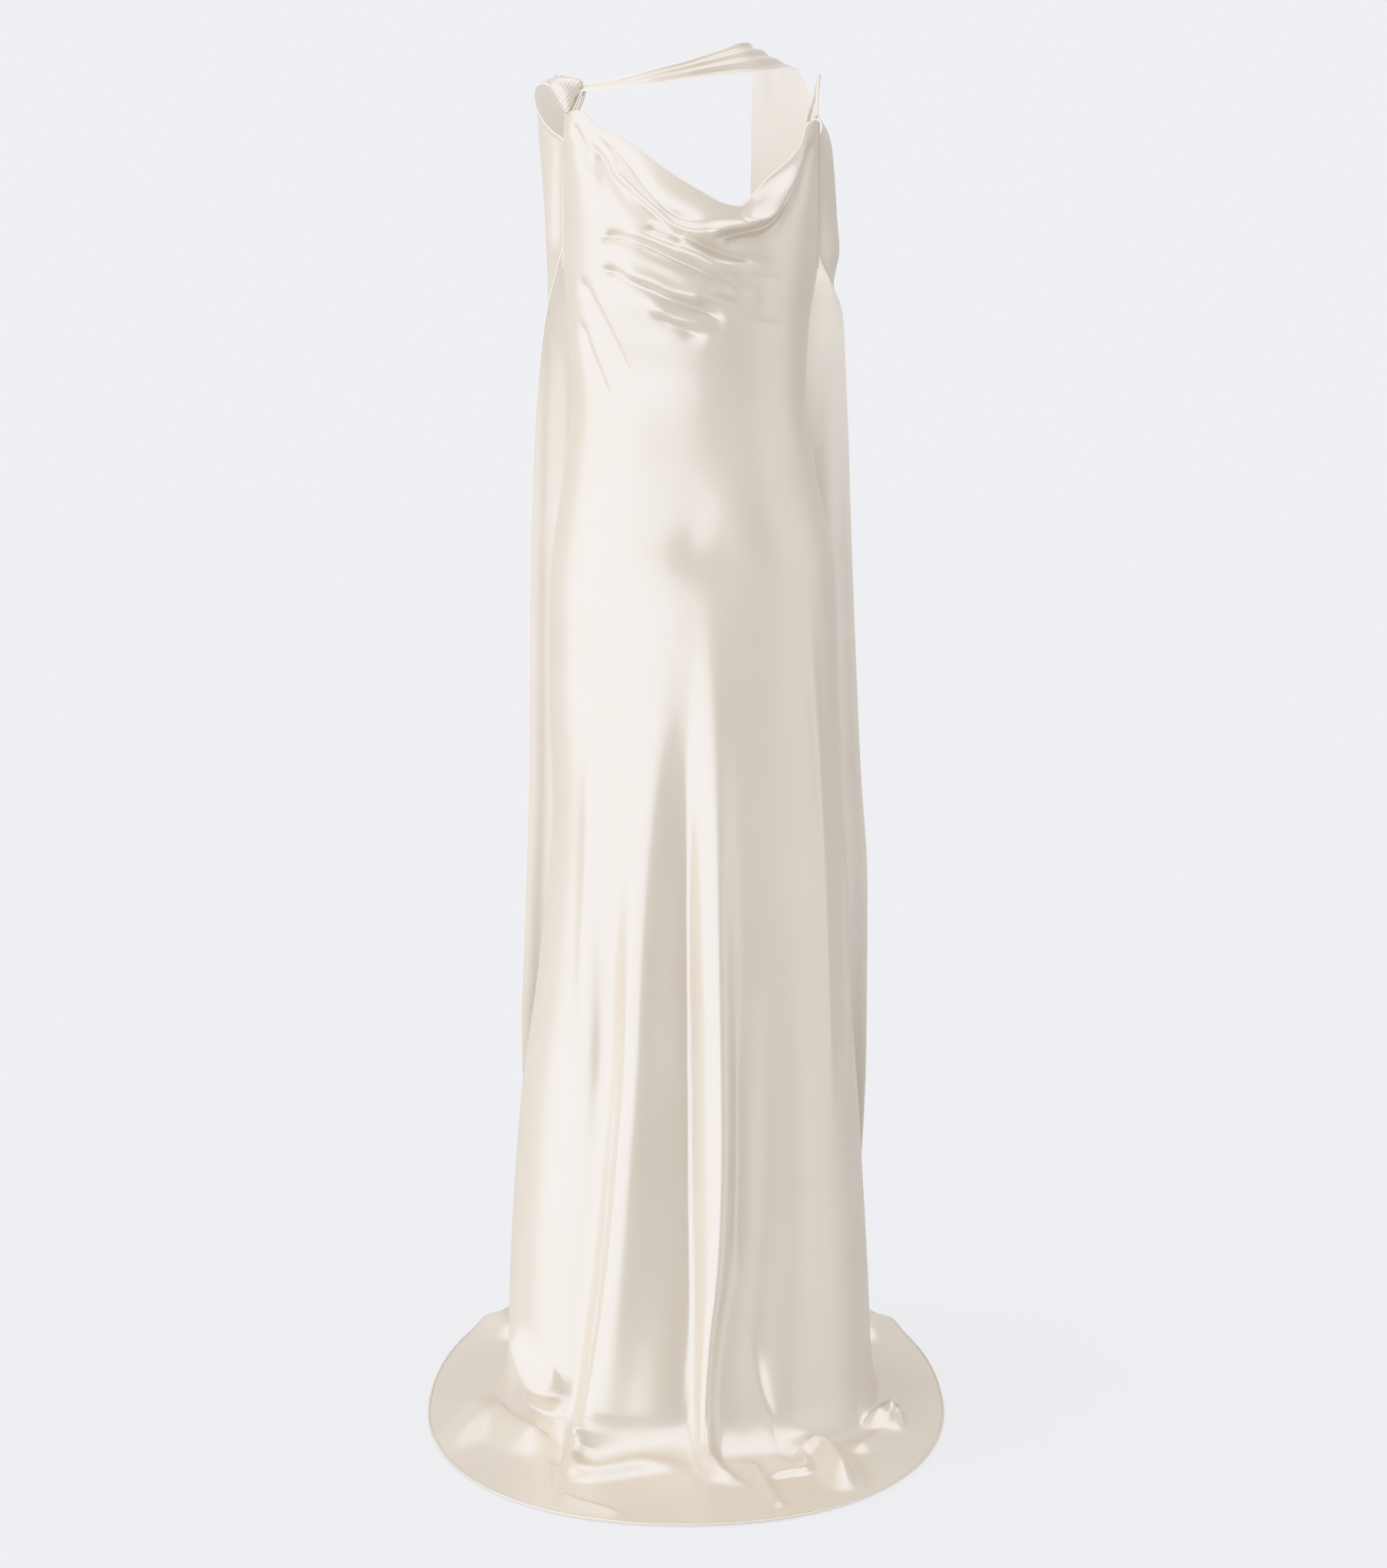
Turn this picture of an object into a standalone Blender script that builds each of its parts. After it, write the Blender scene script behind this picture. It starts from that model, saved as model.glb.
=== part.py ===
# A bias-cut satin wedding dress, hollow as worn: front and back panels, a wrapped shoulder knot,
# a scarf across the neck, two capes that hang behind, and a thin strap over the left shoulder.
# Metres, +Z up, the front faces -Y, and the wearer's right is -X. Every table gives heights above
# the floor; the objects hang from an empty that puts the origin at the wearer's shoulders.

from collections import namedtuple

import bpy
import numpy as np

SHOULDER_HEIGHT = 1.52  # the shoulders above the floor, where the dress is held up
CLOTH = 0.002  # thickness of a satin wall
SEAM_GAP = 0.0003  # clearance between two pieces
ROUNDNESS = 2.2  # exponent of the oval cross-sections: 2 is an ellipse

# ---------------------------------------------------------------- the dress as a tube of sections
# drop: length of cloth below the top section, down the front. y_side: depth where the side lies.
# seam: degrees by which the side seams sit behind the widest points.
Section = namedtuple("Section", "name drop z x_min x_max y_front y_back y_side seam")
SECTIONS = [
    Section("shoulder", 0.000, 1.530, -0.132, 0.143, -0.100, 0.080, -0.052, 0),
    Section("neck", 0.030, 1.500, -0.135, 0.1455, -0.112, 0.090, -0.036, 0),
    Section("cowl", 0.070, 1.460, -0.1375, 0.146, -0.126, 0.098, -0.018, 0),
    Section("top of bust", 0.120, 1.410, -0.139, 0.147, -0.136, 0.103, -0.005, 0),
    Section("bust", 0.164, 1.366, -0.139, 0.147, -0.138, 0.104, 0.000, 0),
    Section("under bust", 0.250, 1.280, -0.134, 0.137, -0.119, 0.099, 0.002, 2),
    Section("waist", 0.320, 1.210, -0.131, 0.134, -0.106, 0.092, 0.003, 3),
    Section("high hip", 0.410, 1.120, -0.141, 0.147, -0.112, 0.110, 0.004, 4),
    Section("hip", 0.530, 1.000, -0.157, 0.170, -0.120, 0.134, 0.006, 5),
    Section("thigh", 0.650, 0.880, -0.160, 0.174, -0.122, 0.135, 0.012, 6),
    Section("mid thigh", 0.790, 0.740, -0.157, 0.181, -0.123, 0.133, 0.020, 7),
    Section("knee", 0.970, 0.560, -0.173, 0.189, -0.128, 0.142, 0.030, 9),
    Section("calf", 1.170, 0.360, -0.200, 0.204, -0.134, 0.166, 0.042, 12),
    Section("ankle", 1.370, 0.160, -0.214, 0.217, -0.140, 0.205, 0.054, 16),
    Section("above floor", 1.480, 0.052, -0.218, 0.223, -0.156, 0.245, 0.060, 18),
    Section("floor bend", 1.540, 0.013, -0.228, 0.233, -0.196, 0.290, 0.060, 19),
    Section("puddle", 1.610, 0.006, -0.262, 0.262, -0.262, 0.372, 0.052, 20),
    Section("hem", 1.700, 0.0034, -0.311, 0.307, -0.348, 0.500, 0.045, 20),
]
BUST_DROP = 0.164
UNDERARM_DROP = 0.174  # where the side seams start
BACK_TOP_DROP = 0.365  # the middle of the back's low top edge
BACK_SCOOP = 0.75  # below 1, the scoop is squarer than half a sine
HEM_DROP = 1.700
FLOOR_FOLD_HEIGHT = 0.008  # mean height of the cloth that lies on the floor
FRONT_COLUMNS, FRONT_ROWS_ABOVE, BACK_COLUMNS = 39, 12, 20

# The neckline, as heights across the front: tied at the knot, lowest left of the middle.
NECKLINE = [
    (-0.140, 1.5160),
    (-0.132, 1.5140),
    (-0.101, 1.5040),
    (-0.072, 1.4920),
    (-0.043, 1.4750),
    (-0.014, 1.4540),
    (0.014, 1.4370),
    (0.043, 1.4230),
    (0.064, 1.4130),
    (0.078, 1.4280),
    (0.099, 1.4550),
    (0.119, 1.4770),
    (0.134, 1.5060),
    (0.148, 1.5120),
]

# ---------------------------------------------------------------- folds
# wall points are (x, z) on the upright cloth and floor points are (x, y) on the puddle, in order
# along the fold. height is out of the cloth (minus is a trough), left and right are the widths of
# its two flanks seen along its run, and grow and fade are the shares of its length over which it
# rises at its start and dies away at its end.
Fold = namedtuple("Fold", "name face height left right grow fade wall floor")
FOLDS = [
    Fold("cowl roll", "front", 0.013, 0.018, 0.018, 0.25, 0.25,
         [(-0.120, 1.497), (-0.080, 1.472), (-0.040, 1.443), (0.000, 1.416), (0.040, 1.397), (0.070, 1.390)], []),
    Fold("cowl lip", "front", 0.012, 0.011, 0.012, 0.20, 0.15,
         [(0.040, 1.410), (0.074, 1.405), (0.091, 1.411), (0.109, 1.440), (0.121, 1.469), (0.131, 1.494)], []),
    Fold("deep fold under the lip", "front", -0.016, 0.010, 0.015, 0.25, 0.20,
         [(0.026, 1.383), (0.074, 1.389), (0.099, 1.404), (0.118, 1.431), (0.130, 1.466), (0.136, 1.492)], []),
    Fold("fold under the roll", "front", -0.013, 0.011, 0.024, 0.15, 0.20,
         [(-0.130, 1.503), (-0.111, 1.476), (-0.082, 1.448), (-0.038, 1.408), (0.005, 1.376), (0.062, 1.359),
          (0.110, 1.353)], []),
    Fold("upper bust wrinkle", "front", -0.009, 0.015, 0.013, 0.3, 0.3,
         [(-0.093, 1.380), (-0.055, 1.378), (-0.015, 1.361), (0.043, 1.335), (0.088, 1.309)], []),
    Fold("lower bust wrinkle", "front", -0.009, 0.015, 0.013, 0.3, 0.3,
         [(-0.100, 1.350), (-0.063, 1.339), (-0.025, 1.321), (0.014, 1.308), (0.090, 1.290)], []),
    Fold("under bust wrinkle", "front", -0.006, 0.014, 0.012, 0.3, 0.3,
         [(-0.062, 1.314), (-0.015, 1.296), (0.030, 1.284), (0.065, 1.280)], []),
    Fold("waist drag line", "front", -0.007, 0.012, 0.016, 0.35, 0.45,
         [(-0.122, 1.345), (-0.106, 1.305), (-0.085, 1.265), (-0.050, 1.212)], []),
    Fold("right skirt trough", "front", -0.012, 0.030, 0.022, 0.45, 0.15,
         [(-0.080, 0.800), (-0.092, 0.650), (-0.098, 0.450), (-0.108, 0.300), (-0.122, 0.160), (-0.132, 0.060)],
         [(-0.143, -0.175), (-0.150, -0.230)]),
    Fold("right skirt ridge", "front", 0.020, 0.026, 0.024, 0.5, 0.12,
         [(-0.018, 0.945), (-0.034, 0.860), (-0.046, 0.740), (-0.055, 0.594), (-0.062, 0.467), (-0.074, 0.357),
          (-0.088, 0.229), (-0.104, 0.122)], [(-0.118, -0.160), (-0.129, -0.190), (-0.133, -0.235)]),
    Fold("middle skirt trough", "front", -0.010, 0.018, 0.018, 0.4, 0.2,
         [(-0.006, 0.920), (-0.006, 0.700), (-0.008, 0.469), (-0.014, 0.361), (-0.022, 0.200), (-0.030, 0.080)], []),
    Fold("left skirt ridge", "front", 0.019, 0.020, 0.032, 0.5, 0.15,
         [(0.027, 0.945), (0.033, 0.800), (0.035, 0.600), (0.038, 0.360), (0.034, 0.234), (0.022, 0.130)],
         [(0.020, -0.165), (0.032, -0.205), (0.056, -0.235), (0.078, -0.285)]),
    Fold("left skirt trough", "front", -0.009, 0.030, 0.026, 0.5, 0.2,
         [(0.092, 0.700), (0.096, 0.500), (0.094, 0.300), (0.084, 0.150)], [(0.078, -0.160), (0.096, -0.205)]),
    Fold("right bulge on the floor", "front", 0.018, 0.032, 0.030, 0.3, 0.3,
         [], [(-0.226, -0.005), (-0.204, -0.085), (-0.172, -0.130), (-0.150, -0.165)]),
    Fold("right floor ridge", "front", 0.014, 0.022, 0.022, 0.35, 0.4,
         [], [(-0.240, 0.040), (-0.250, -0.050), (-0.272, -0.150)]),
    Fold("front floor roll", "front", 0.010, 0.022, 0.030, 0.2, 0.3,
         [], [(-0.128, -0.212), (-0.085, -0.205), (-0.040, -0.188), (0.010, -0.190)]),
    Fold("left floor ridge", "front", 0.024, 0.022, 0.020, 0.3, 0.35,
         [(0.100, 0.110)], [(0.108, -0.140), (0.132, -0.175), (0.156, -0.215), (0.182, -0.275)]),
    Fold("left floor roll", "front", 0.018, 0.020, 0.020, 0.4, 0.35,
         [], [(0.196, -0.062), (0.226, -0.060), (0.258, -0.048)]),
    Fold("back cowl", "back", 0.010, 0.016, 0.020, 0.3, 0.3,
         [(-0.100, 1.215), (-0.060, 1.160), (0.000, 1.135), (0.060, 1.160), (0.100, 1.215)], []),
    Fold("back right ridge", "back", 0.018, 0.028, 0.026, 0.5, 0.3,
         [(-0.036, 0.930), (-0.052, 0.700), (-0.068, 0.450), (-0.088, 0.200)], [(-0.110, 0.320), (-0.142, 0.430)]),
    Fold("back middle ridge", "back", 0.015, 0.026, 0.028, 0.5, 0.3,
         [(0.010, 0.900), (0.014, 0.650), (0.012, 0.400), (0.006, 0.180)], [(0.000, 0.330), (-0.008, 0.440)]),
    Fold("back left ridge", "back", 0.018, 0.026, 0.028, 0.5, 0.3,
         [(0.058, 0.930), (0.076, 0.700), (0.092, 0.450), (0.106, 0.200)], [(0.130, 0.315), (0.165, 0.415)]),
    Fold("right train ridge", "back", 0.016, 0.024, 0.024, 0.35, 0.35,
         [], [(-0.208, 0.222), (-0.236, 0.280), (-0.250, 0.345)]),
    Fold("left train ridge", "back", 0.016, 0.024, 0.024, 0.35, 0.35,
         [], [(0.205, 0.215), (0.238, 0.270), (0.252, 0.335)]),
]

# ---------------------------------------------------------------- the two capes
# Each row runs from the free or sewn front edge, round the side, across the back to the inner edge.
# Only the edge and the inner end give a height. An edge of None is sewn to the front's armhole.
CapeRow = namedtuple("CapeRow", "edge side back inner")
CAPE_RIGHT = [
    CapeRow((-0.1508, -0.0455, 1.5475), (-0.1498, -0.0430), (-0.1483, -0.0400), (-0.1458, -0.0368, 1.5550)),
    CapeRow((-0.1590, -0.0250, 1.5520), (-0.1550, -0.0190), (-0.1490, -0.0150), (-0.1415, -0.0120, 1.5620)),
    CapeRow((-0.1675, 0.0020, 1.5510), (-0.1610, 0.0120), (-0.1490, 0.0190), (-0.1375, 0.0220, 1.5630)),
    CapeRow((-0.1720, 0.0200, 1.5400), (-0.1660, 0.0400), (-0.1510, 0.0530), (-0.1355, 0.0560, 1.5490)),
    CapeRow((-0.1700, 0.0210, 1.5270), (-0.1690, 0.0500), (-0.1540, 0.0740), (-0.1345, 0.0800, 1.5250)),
    CapeRow((-0.1620, 0.0090, 1.5120), (-0.1690, 0.0450), (-0.1570, 0.0840), (-0.1320, 0.0950, 1.4980)),
    CapeRow((-0.1500, -0.0130, 1.4990), (-0.1680, 0.0370), (-0.1590, 0.0920), (-0.1280, 0.1050, 1.4780)),
    CapeRow((None, None, 1.4860), (-0.1660, 0.0330), (-0.1590, 0.0970), (-0.1230, 0.1130, 1.4580)),
    CapeRow((None, None, 1.4400), (-0.1640, 0.0380), (-0.1575, 0.1030), (-0.1150, 0.1200, 1.4250)),
    CapeRow((None, None, 1.3850), (-0.1620, 0.0420), (-0.1560, 0.1070), (-0.1050, 0.1250, 1.3850)),
    CapeRow((-0.1500, 0.0350, 1.3450), (-0.1610, 0.0680), (-0.1470, 0.1110), (-0.0950, 0.1300, 1.3450)),
    CapeRow((-0.1620, 0.0600, 1.3000), (-0.1600, 0.0900), (-0.1400, 0.1180), (-0.0850, 0.1350, 1.3000)),
    CapeRow((-0.1750, 0.0880, 1.2000), (-0.1490, 0.1070), (-0.1080, 0.1310), (-0.0600, 0.1460, 1.2000)),
    CapeRow((-0.1845, 0.0850, 1.0000), (-0.1500, 0.1010), (-0.1050, 0.1310), (-0.0500, 0.1610, 1.0000)),
    CapeRow((-0.1880, 0.0900, 0.7700), (-0.1520, 0.1080), (-0.1050, 0.1410), (-0.0440, 0.1710, 0.7700)),
    CapeRow((-0.1960, 0.0950, 0.5600), (-0.1600, 0.1180), (-0.1100, 0.1510), (-0.0400, 0.1810, 0.5600)),
    CapeRow((-0.2010, 0.1050, 0.4300), (-0.1680, 0.1310), (-0.1150, 0.1670), (-0.0370, 0.1960, 0.4300)),
    CapeRow((-0.1970, 0.1350, 0.2800), (-0.1650, 0.1620), (-0.1150, 0.2060), (-0.0400, 0.2270, 0.2800)),
    CapeRow((-0.1880, 0.1800, 0.1400), (-0.1550, 0.2060), (-0.1100, 0.2350), (-0.0400, 0.2600, 0.1400)),
]
CAPE_LEFT = [
    CapeRow((0.1236, 0.0320, 1.5712), (0.1130, 0.0440), (0.0950, 0.0590), (0.0755, 0.0655, 1.5768)),
    CapeRow((0.1320, 0.0450, 1.5570), (0.1230, 0.0590), (0.1020, 0.0740), (0.0750, 0.0810, 1.5600)),
    CapeRow((0.1395, 0.0480, 1.5400), (0.1340, 0.0690), (0.1090, 0.0870), (0.0745, 0.0930, 1.5400)),
    CapeRow((0.1465, 0.0300, 1.5210), (0.1500, 0.0600), (0.1230, 0.0970), (0.0740, 0.1010, 1.5150)),
    CapeRow((0.1505, -0.0050, 1.5060), (0.1590, 0.0430), (0.1370, 0.1040), (0.0740, 0.1060, 1.4950)),
    CapeRow((None, None, 1.4900), (0.1630, 0.0380), (0.1470, 0.1090), (0.0740, 0.1100, 1.4740)),
    CapeRow((None, None, 1.4450), (0.1680, 0.0400), (0.1560, 0.1120), (0.0735, 0.1160, 1.4400)),
    CapeRow((None, None, 1.4050), (0.1710, 0.0430), (0.1600, 0.1140), (0.0730, 0.1200, 1.4050)),
    CapeRow((None, None, 1.3700), (0.1740, 0.0450), (0.1620, 0.1160), (0.0720, 0.1230, 1.3700)),
    CapeRow((0.1620, 0.0220, 1.3350), (0.1690, 0.0560), (0.1500, 0.1050), (0.0700, 0.1260, 1.3350)),
    CapeRow((0.1775, 0.0520, 1.3000), (0.1680, 0.0850), (0.1380, 0.1130), (0.0680, 0.1290, 1.3000)),
    CapeRow((0.1850, 0.0800, 1.2000), (0.1540, 0.1010), (0.1120, 0.1270), (0.0600, 0.1420, 1.2000)),
    CapeRow((0.1935, 0.0860, 1.0000), (0.1580, 0.1020), (0.1120, 0.1330), (0.0460, 0.1650, 1.0000)),
    CapeRow((0.2050, 0.0920, 0.7700), (0.1650, 0.1100), (0.1150, 0.1430), (0.0380, 0.1730, 0.7700)),
    CapeRow((0.2150, 0.0970, 0.6200), (0.1720, 0.1180), (0.1180, 0.1520), (0.0350, 0.1820, 0.6200)),
    CapeRow((0.2160, 0.1050, 0.4300), (0.1780, 0.1320), (0.1220, 0.1680), (0.0350, 0.1970, 0.4300)),
    CapeRow((0.2130, 0.1350, 0.2800), (0.1750, 0.1630), (0.1220, 0.2080), (0.0360, 0.2280, 0.2800)),
    CapeRow((0.2020, 0.1800, 0.1400), (0.1650, 0.2080), (0.1180, 0.2360), (0.0400, 0.2600, 0.1400)),
]
CAPE_COLUMNS = 13
CAPE_SHOULDER_ROWS = 9  # table rows between which the shoulder gets one more row each
ARMHOLE_STEP = np.array([0.0006, 0.0014, 0.0])  # from the front's side edge to a cape's sewn edge
CAPE_WAVES = 3  # soft upright folds across each cape
CAPE_WAVE = 0.0045  # their height where the cape hangs free

# ---------------------------------------------------------------- scarf, knot and strap
# The scarf's lower and upper edge, from the knot over the left shoulder to the cape.
ScarfRow = namedtuple("ScarfRow", "lower upper")
SCARF = [
    ScarfRow((-0.1153, -0.0595, 1.5415), (-0.1148, -0.0545, 1.5475)),
    ScarfRow((-0.0780, -0.0780, 1.5440), (-0.0770, -0.0710, 1.5530)),
    ScarfRow((-0.0380, -0.0890, 1.5470), (-0.0370, -0.0780, 1.5630)),
    ScarfRow((0.0000, -0.0890, 1.5520), (-0.0010, -0.0730, 1.5720)),
    ScarfRow((0.0400, -0.0790, 1.5565), (0.0330, -0.0550, 1.5840)),
    ScarfRow((0.0720, -0.0590, 1.5600), (0.0590, -0.0280, 1.5945)),
    ScarfRow((0.0980, -0.0300, 1.5645), (0.0680, 0.0050, 1.5960)),
    ScarfRow((0.1150, 0.0020, 1.5690), (0.0725, 0.0380, 1.5890)),
    ScarfRow((0.1230, 0.0300, 1.5715), (0.0755, 0.0630, 1.5780)),
]
SCARF_BOW = 0.004  # how far the band swells between its edges
SCARF_PLEATS = 3
SCARF_PLEAT = 0.0014

KNOT_TOP = (-0.1350, -0.0490, 1.5570)
KNOT_BOTTOM = (-0.1305, -0.0570, 1.5160)
KNOT_HALF = (0.0235, 0.0150)  # half width and half depth at its widest
KNOT_SQUARE = 0.38  # below 1, its top and bottom are blunt
KNOT_LEAN = 0.62  # how much narrower the knot is at its bottom than at its top
KNOT_WRAPS = 5  # wraps up its height
KNOT_SLANT = 1.1  # how much a wrap climbs towards the wearer's left
KNOT_WRAP = 0.0016  # depth of the grooves between wraps

STRAP_RADIUS = 0.0022
STRAP = [
    (0.1424, -0.0490, 1.5138),
    (0.1435, -0.0300, 1.5345),
    (0.1460, -0.0060, 1.5540),
    (0.1480, 0.0120, 1.5620),
    (0.1465, 0.0215, 1.5540),
    (0.1385, 0.0330, 1.5230),
    (0.1315, 0.0540, 1.4800),
    (0.1275, 0.0640, 1.4100),
    (0.1235, 0.0630, 1.3300),
    (0.1190, 0.0530, 1.2505),
]

IVORY = (0.82, 0.77, 0.68)


# ---------------------------------------------------------------- curves
def smooth(knots, values, at):
    """Monotone cubic curve through a table, so that no outline swings past its own rows."""
    knots = np.asarray(knots, float)
    values = np.asarray(values, float)
    at = np.asarray(at, float)
    step = np.diff(knots)
    rise = np.diff(values) / step
    turn = rise[:-1] * rise[1:]
    total = np.where(turn > 0, rise[:-1] + rise[1:], 1.0)
    slope = np.empty_like(values)
    slope[1:-1] = np.where(turn > 0, 2 * turn / total, 0.0)
    slope[0], slope[-1] = rise[0], rise[-1]
    place = np.clip(np.searchsorted(knots, at, side="right") - 1, 0, len(step) - 1)
    t = (at - knots[place]) / step[place]
    return (
        values[place] * (1 + 2 * t) * (1 - t) ** 2
        + values[place + 1] * t * t * (3 - 2 * t)
        + step[place] * (slope[place] * t * (1 - t) ** 2 - slope[place + 1] * t * t * (1 - t))
    )


def smooth_path(points, count):
    """Evenly spaced points on a smooth curve through the given ones."""
    points = np.asarray(points, float)
    along = np.concatenate([[0], np.cumsum(np.linalg.norm(np.diff(points, axis=0), axis=1))])
    at = np.linspace(0, along[-1], count)
    return np.stack([smooth(along, points[:, axis], at) for axis in range(3)], axis=1)


def ease(value):
    value = np.clip(value, 0, 1)
    return value * value * (3 - 2 * value)


# ---------------------------------------------------------------- the tube
DROPS = [section.drop for section in SECTIONS]


def tube_size(column, drop):
    return smooth(DROPS, [getattr(section, column) for section in SECTIONS], drop)


def rounded(value):
    return np.sign(value) * np.abs(value) ** (2 / ROUNDNESS)


def tube_point(angle, drop):
    """Point of the tube's outside. angle is 0 at the middle of the front and +90 degrees at +X."""
    x_min, x_max = tube_size("x_min", drop), tube_size("x_max", drop)
    y_front, y_back, y_side = (tube_size(name, drop) for name in ("y_front", "y_back", "y_side"))
    forward = rounded(np.cos(angle))
    depth = np.where(forward > 0, y_side - y_front, y_back - y_side)
    x = (x_min + x_max) / 2 + (x_max - x_min) / 2 * rounded(np.sin(angle))
    return np.stack([x, y_side - depth * forward, tube_size("z", drop) + 0 * angle], axis=-1)


def drop_at(z):
    """Drop of a height on the upright part, where the drop and the height run one to one."""
    return SECTIONS[0].z - np.asarray(z, float)


def on_wall(x, z, back):
    """Point of the upright cloth at a given x and height, on the front or on the back."""
    drop = drop_at(z)
    x_min, x_max = tube_size("x_min", drop), tube_size("x_max", drop)
    across = np.clip((x - (x_min + x_max) / 2) / ((x_max - x_min) / 2), -1, 1)
    angle = np.arcsin(np.sign(across) * np.abs(across) ** (ROUNDNESS / 2))
    return tube_point(np.pi - angle if back else angle, drop)


# ---------------------------------------------------------------- folds
def fold_path(fold):
    wall = [on_wall(x, z, fold.face == "back") for x, z in fold.wall]
    floor = [(x, y, FLOOR_FOLD_HEIGHT) for x, y in fold.floor]
    return smooth_path(wall + floor, 40)


def fold_height(points, normals, fold):
    """Height of one fold at each point: a bell across its run that fades at both ends."""
    path = fold_path(fold)
    start, run = path[:-1], np.diff(path, axis=0)
    reach = points[:, None] - start
    t = np.clip((reach * run).sum(-1) / (run * run).sum(-1), 0, 1)
    gap = reach - t[..., None] * run
    nearest = (gap * gap).sum(-1).argmin(axis=1)
    row = np.arange(len(points))
    gap, run = gap[row, nearest], run[nearest]
    share = (nearest + t[row, nearest]) / len(start)
    side = (np.cross(normals, run) * gap).sum(-1)
    width = np.where(side > 0, fold.left, fold.right)
    bell = np.exp(-(gap * gap).sum(-1) / (width * width))
    return fold.height * bell * ease(share / fold.grow) * ease((1 - share) / fold.fade)


def surface_normal(surface, angle, drop):
    """Outward normal of a surface given as a function of angle and drop."""
    step = 1e-3
    over = surface(angle + step, drop) - surface(angle - step, drop)
    down = surface(angle, drop + step) - surface(angle, drop - step)
    normal = np.cross(down, over)
    return normal / np.linalg.norm(normal, axis=-1, keepdims=True)


def dress_point(angle, drop):
    """Point of the dress's outside: the tube moved along its normals by all the folds."""
    angle, drop = np.broadcast_arrays(angle, drop)
    points, normals = tube_point(angle, drop), surface_normal(tube_point, angle, drop)
    flat = (points.reshape(-1, 3), normals.reshape(-1, 3))
    height = sum(fold_height(*flat, fold) for fold in FOLDS)
    return points + normals * height.reshape(angle.shape)[..., None]


def grid_normals(grid, outward):
    """Unit normals of a grid of points, turned so that they agree with the outward vectors."""
    normals = np.cross(np.gradient(grid, axis=1), np.gradient(grid, axis=0))
    normals /= np.linalg.norm(normals, axis=-1, keepdims=True)
    agree = np.sign((normals * outward).sum())
    return normals * agree


# ---------------------------------------------------------------- solids
def material(name, colour, roughness):
    made = bpy.data.materials.new(name)
    made.use_nodes = True
    shader = made.node_tree.nodes["Principled BSDF"]
    shader.inputs["Base Color"].default_value = (*colour, 1)
    shader.inputs["Roughness"].default_value = roughness
    shader.inputs["Metallic"].default_value = 0
    return made


def add_object(name, vertices, faces, finish):
    mesh = bpy.data.meshes.new(name)
    mesh.from_pydata([tuple(vertex) for vertex in vertices], [], faces)
    mesh.update()
    mesh.shade_smooth()
    mesh.materials.append(finish)
    made = bpy.data.objects.new(name, mesh)
    bpy.context.collection.objects.link(made)
    made.parent = shoulders
    return made


def cloth_wall(name, grid, normals, finish, thickness=CLOTH):
    """Closed wall whose outside is the grid and whose inside lies one thickness behind it."""
    rows, columns = grid.shape[:2]
    outside = grid.reshape(-1, 3)
    inside = (grid - normals * thickness).reshape(-1, 3)
    count = rows * columns

    def vertex(row, column):
        return row * columns + column

    faces = []
    for row in range(rows - 1):
        for column in range(columns - 1):
            corners = (vertex(row, column), vertex(row + 1, column),
                       vertex(row + 1, column + 1), vertex(row, column + 1))
            faces.append(corners)
            faces.append(tuple(count + corner for corner in reversed(corners)))
    rim = [vertex(0, column) for column in range(columns)]
    rim += [vertex(row, columns - 1) for row in range(1, rows)]
    rim += [vertex(rows - 1, column) for column in range(columns - 2, -1, -1)]
    rim += [vertex(row, 0) for row in range(rows - 2, 0, -1)]
    for here, there in zip(rim, rim[1:] + rim[:1]):
        faces.append((here, there, count + there, count + here))
    down, over = grid[1, 0] - grid[0, 0], grid[0, 1] - grid[0, 0]
    if np.cross(down, over) @ normals[0, 0] < 0:
        faces = [tuple(reversed(face)) for face in faces]
    return add_object(name, np.concatenate([outside, inside]), faces, finish)


# ---------------------------------------------------------------- pieces
# Rows that the two panels share, as drops below the bust line.
SHARED_DROPS = np.concatenate([
    np.linspace(UNDERARM_DROP, 0.335, 10), np.linspace(0.400, 1.310, 9), np.linspace(1.370, 1.450, 3),
    np.linspace(1.475, 1.565, 7), np.linspace(1.592, HEM_DROP, 5)])


def seam_angle(drop):
    return np.radians(90 + tube_size("seam", drop))


def make_panel(name, angle, drop):
    """A panel between the two side seams, each moved inwards by half a seam gap."""
    grid = dress_point(angle, drop)
    normals = surface_normal(dress_point, angle, drop)
    for edge, beside in ((0, 1), (-1, -2)):
        inwards = np.cross(normals[:, edge], np.gradient(grid[:, edge], axis=0))
        inwards *= np.sign((inwards * (grid[:, beside] - grid[:, edge])).sum(-1, keepdims=True))
        grid[:, edge] += inwards / np.linalg.norm(inwards, axis=-1, keepdims=True) * SEAM_GAP / 2
    cloth_wall(name, grid, normals, satin)


def make_front():
    across = np.linspace(-1, 1, FRONT_COLUMNS)
    x_min, x_max = tube_size("x_min", BUST_DROP), tube_size("x_max", BUST_DROP)
    x = (x_min + x_max) / 2 + (x_max - x_min) / 2 * rounded(np.sin(across * np.pi / 2))
    top = drop_at(smooth(*zip(*NECKLINE), x))
    above = top + (UNDERARM_DROP - top) * np.linspace(0, 1, FRONT_ROWS_ABOVE, endpoint=False)[:, None]
    drop = np.concatenate([above, SHARED_DROPS[:, None] + 0 * top])
    make_panel("front_panel", across * seam_angle(drop), drop)


def make_back():
    across = np.linspace(-1, 1, BACK_COLUMNS)
    scoop = np.cos(across * np.pi / 2).clip(0) ** BACK_SCOOP
    top = UNDERARM_DROP + (BACK_TOP_DROP - UNDERARM_DROP) * scoop
    share = (SHARED_DROPS - UNDERARM_DROP) / (HEM_DROP - UNDERARM_DROP)
    drop = top + (HEM_DROP - top) * share[:, None]
    make_panel("back_panel", np.pi - across * (np.pi - seam_angle(drop)), drop)


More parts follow.
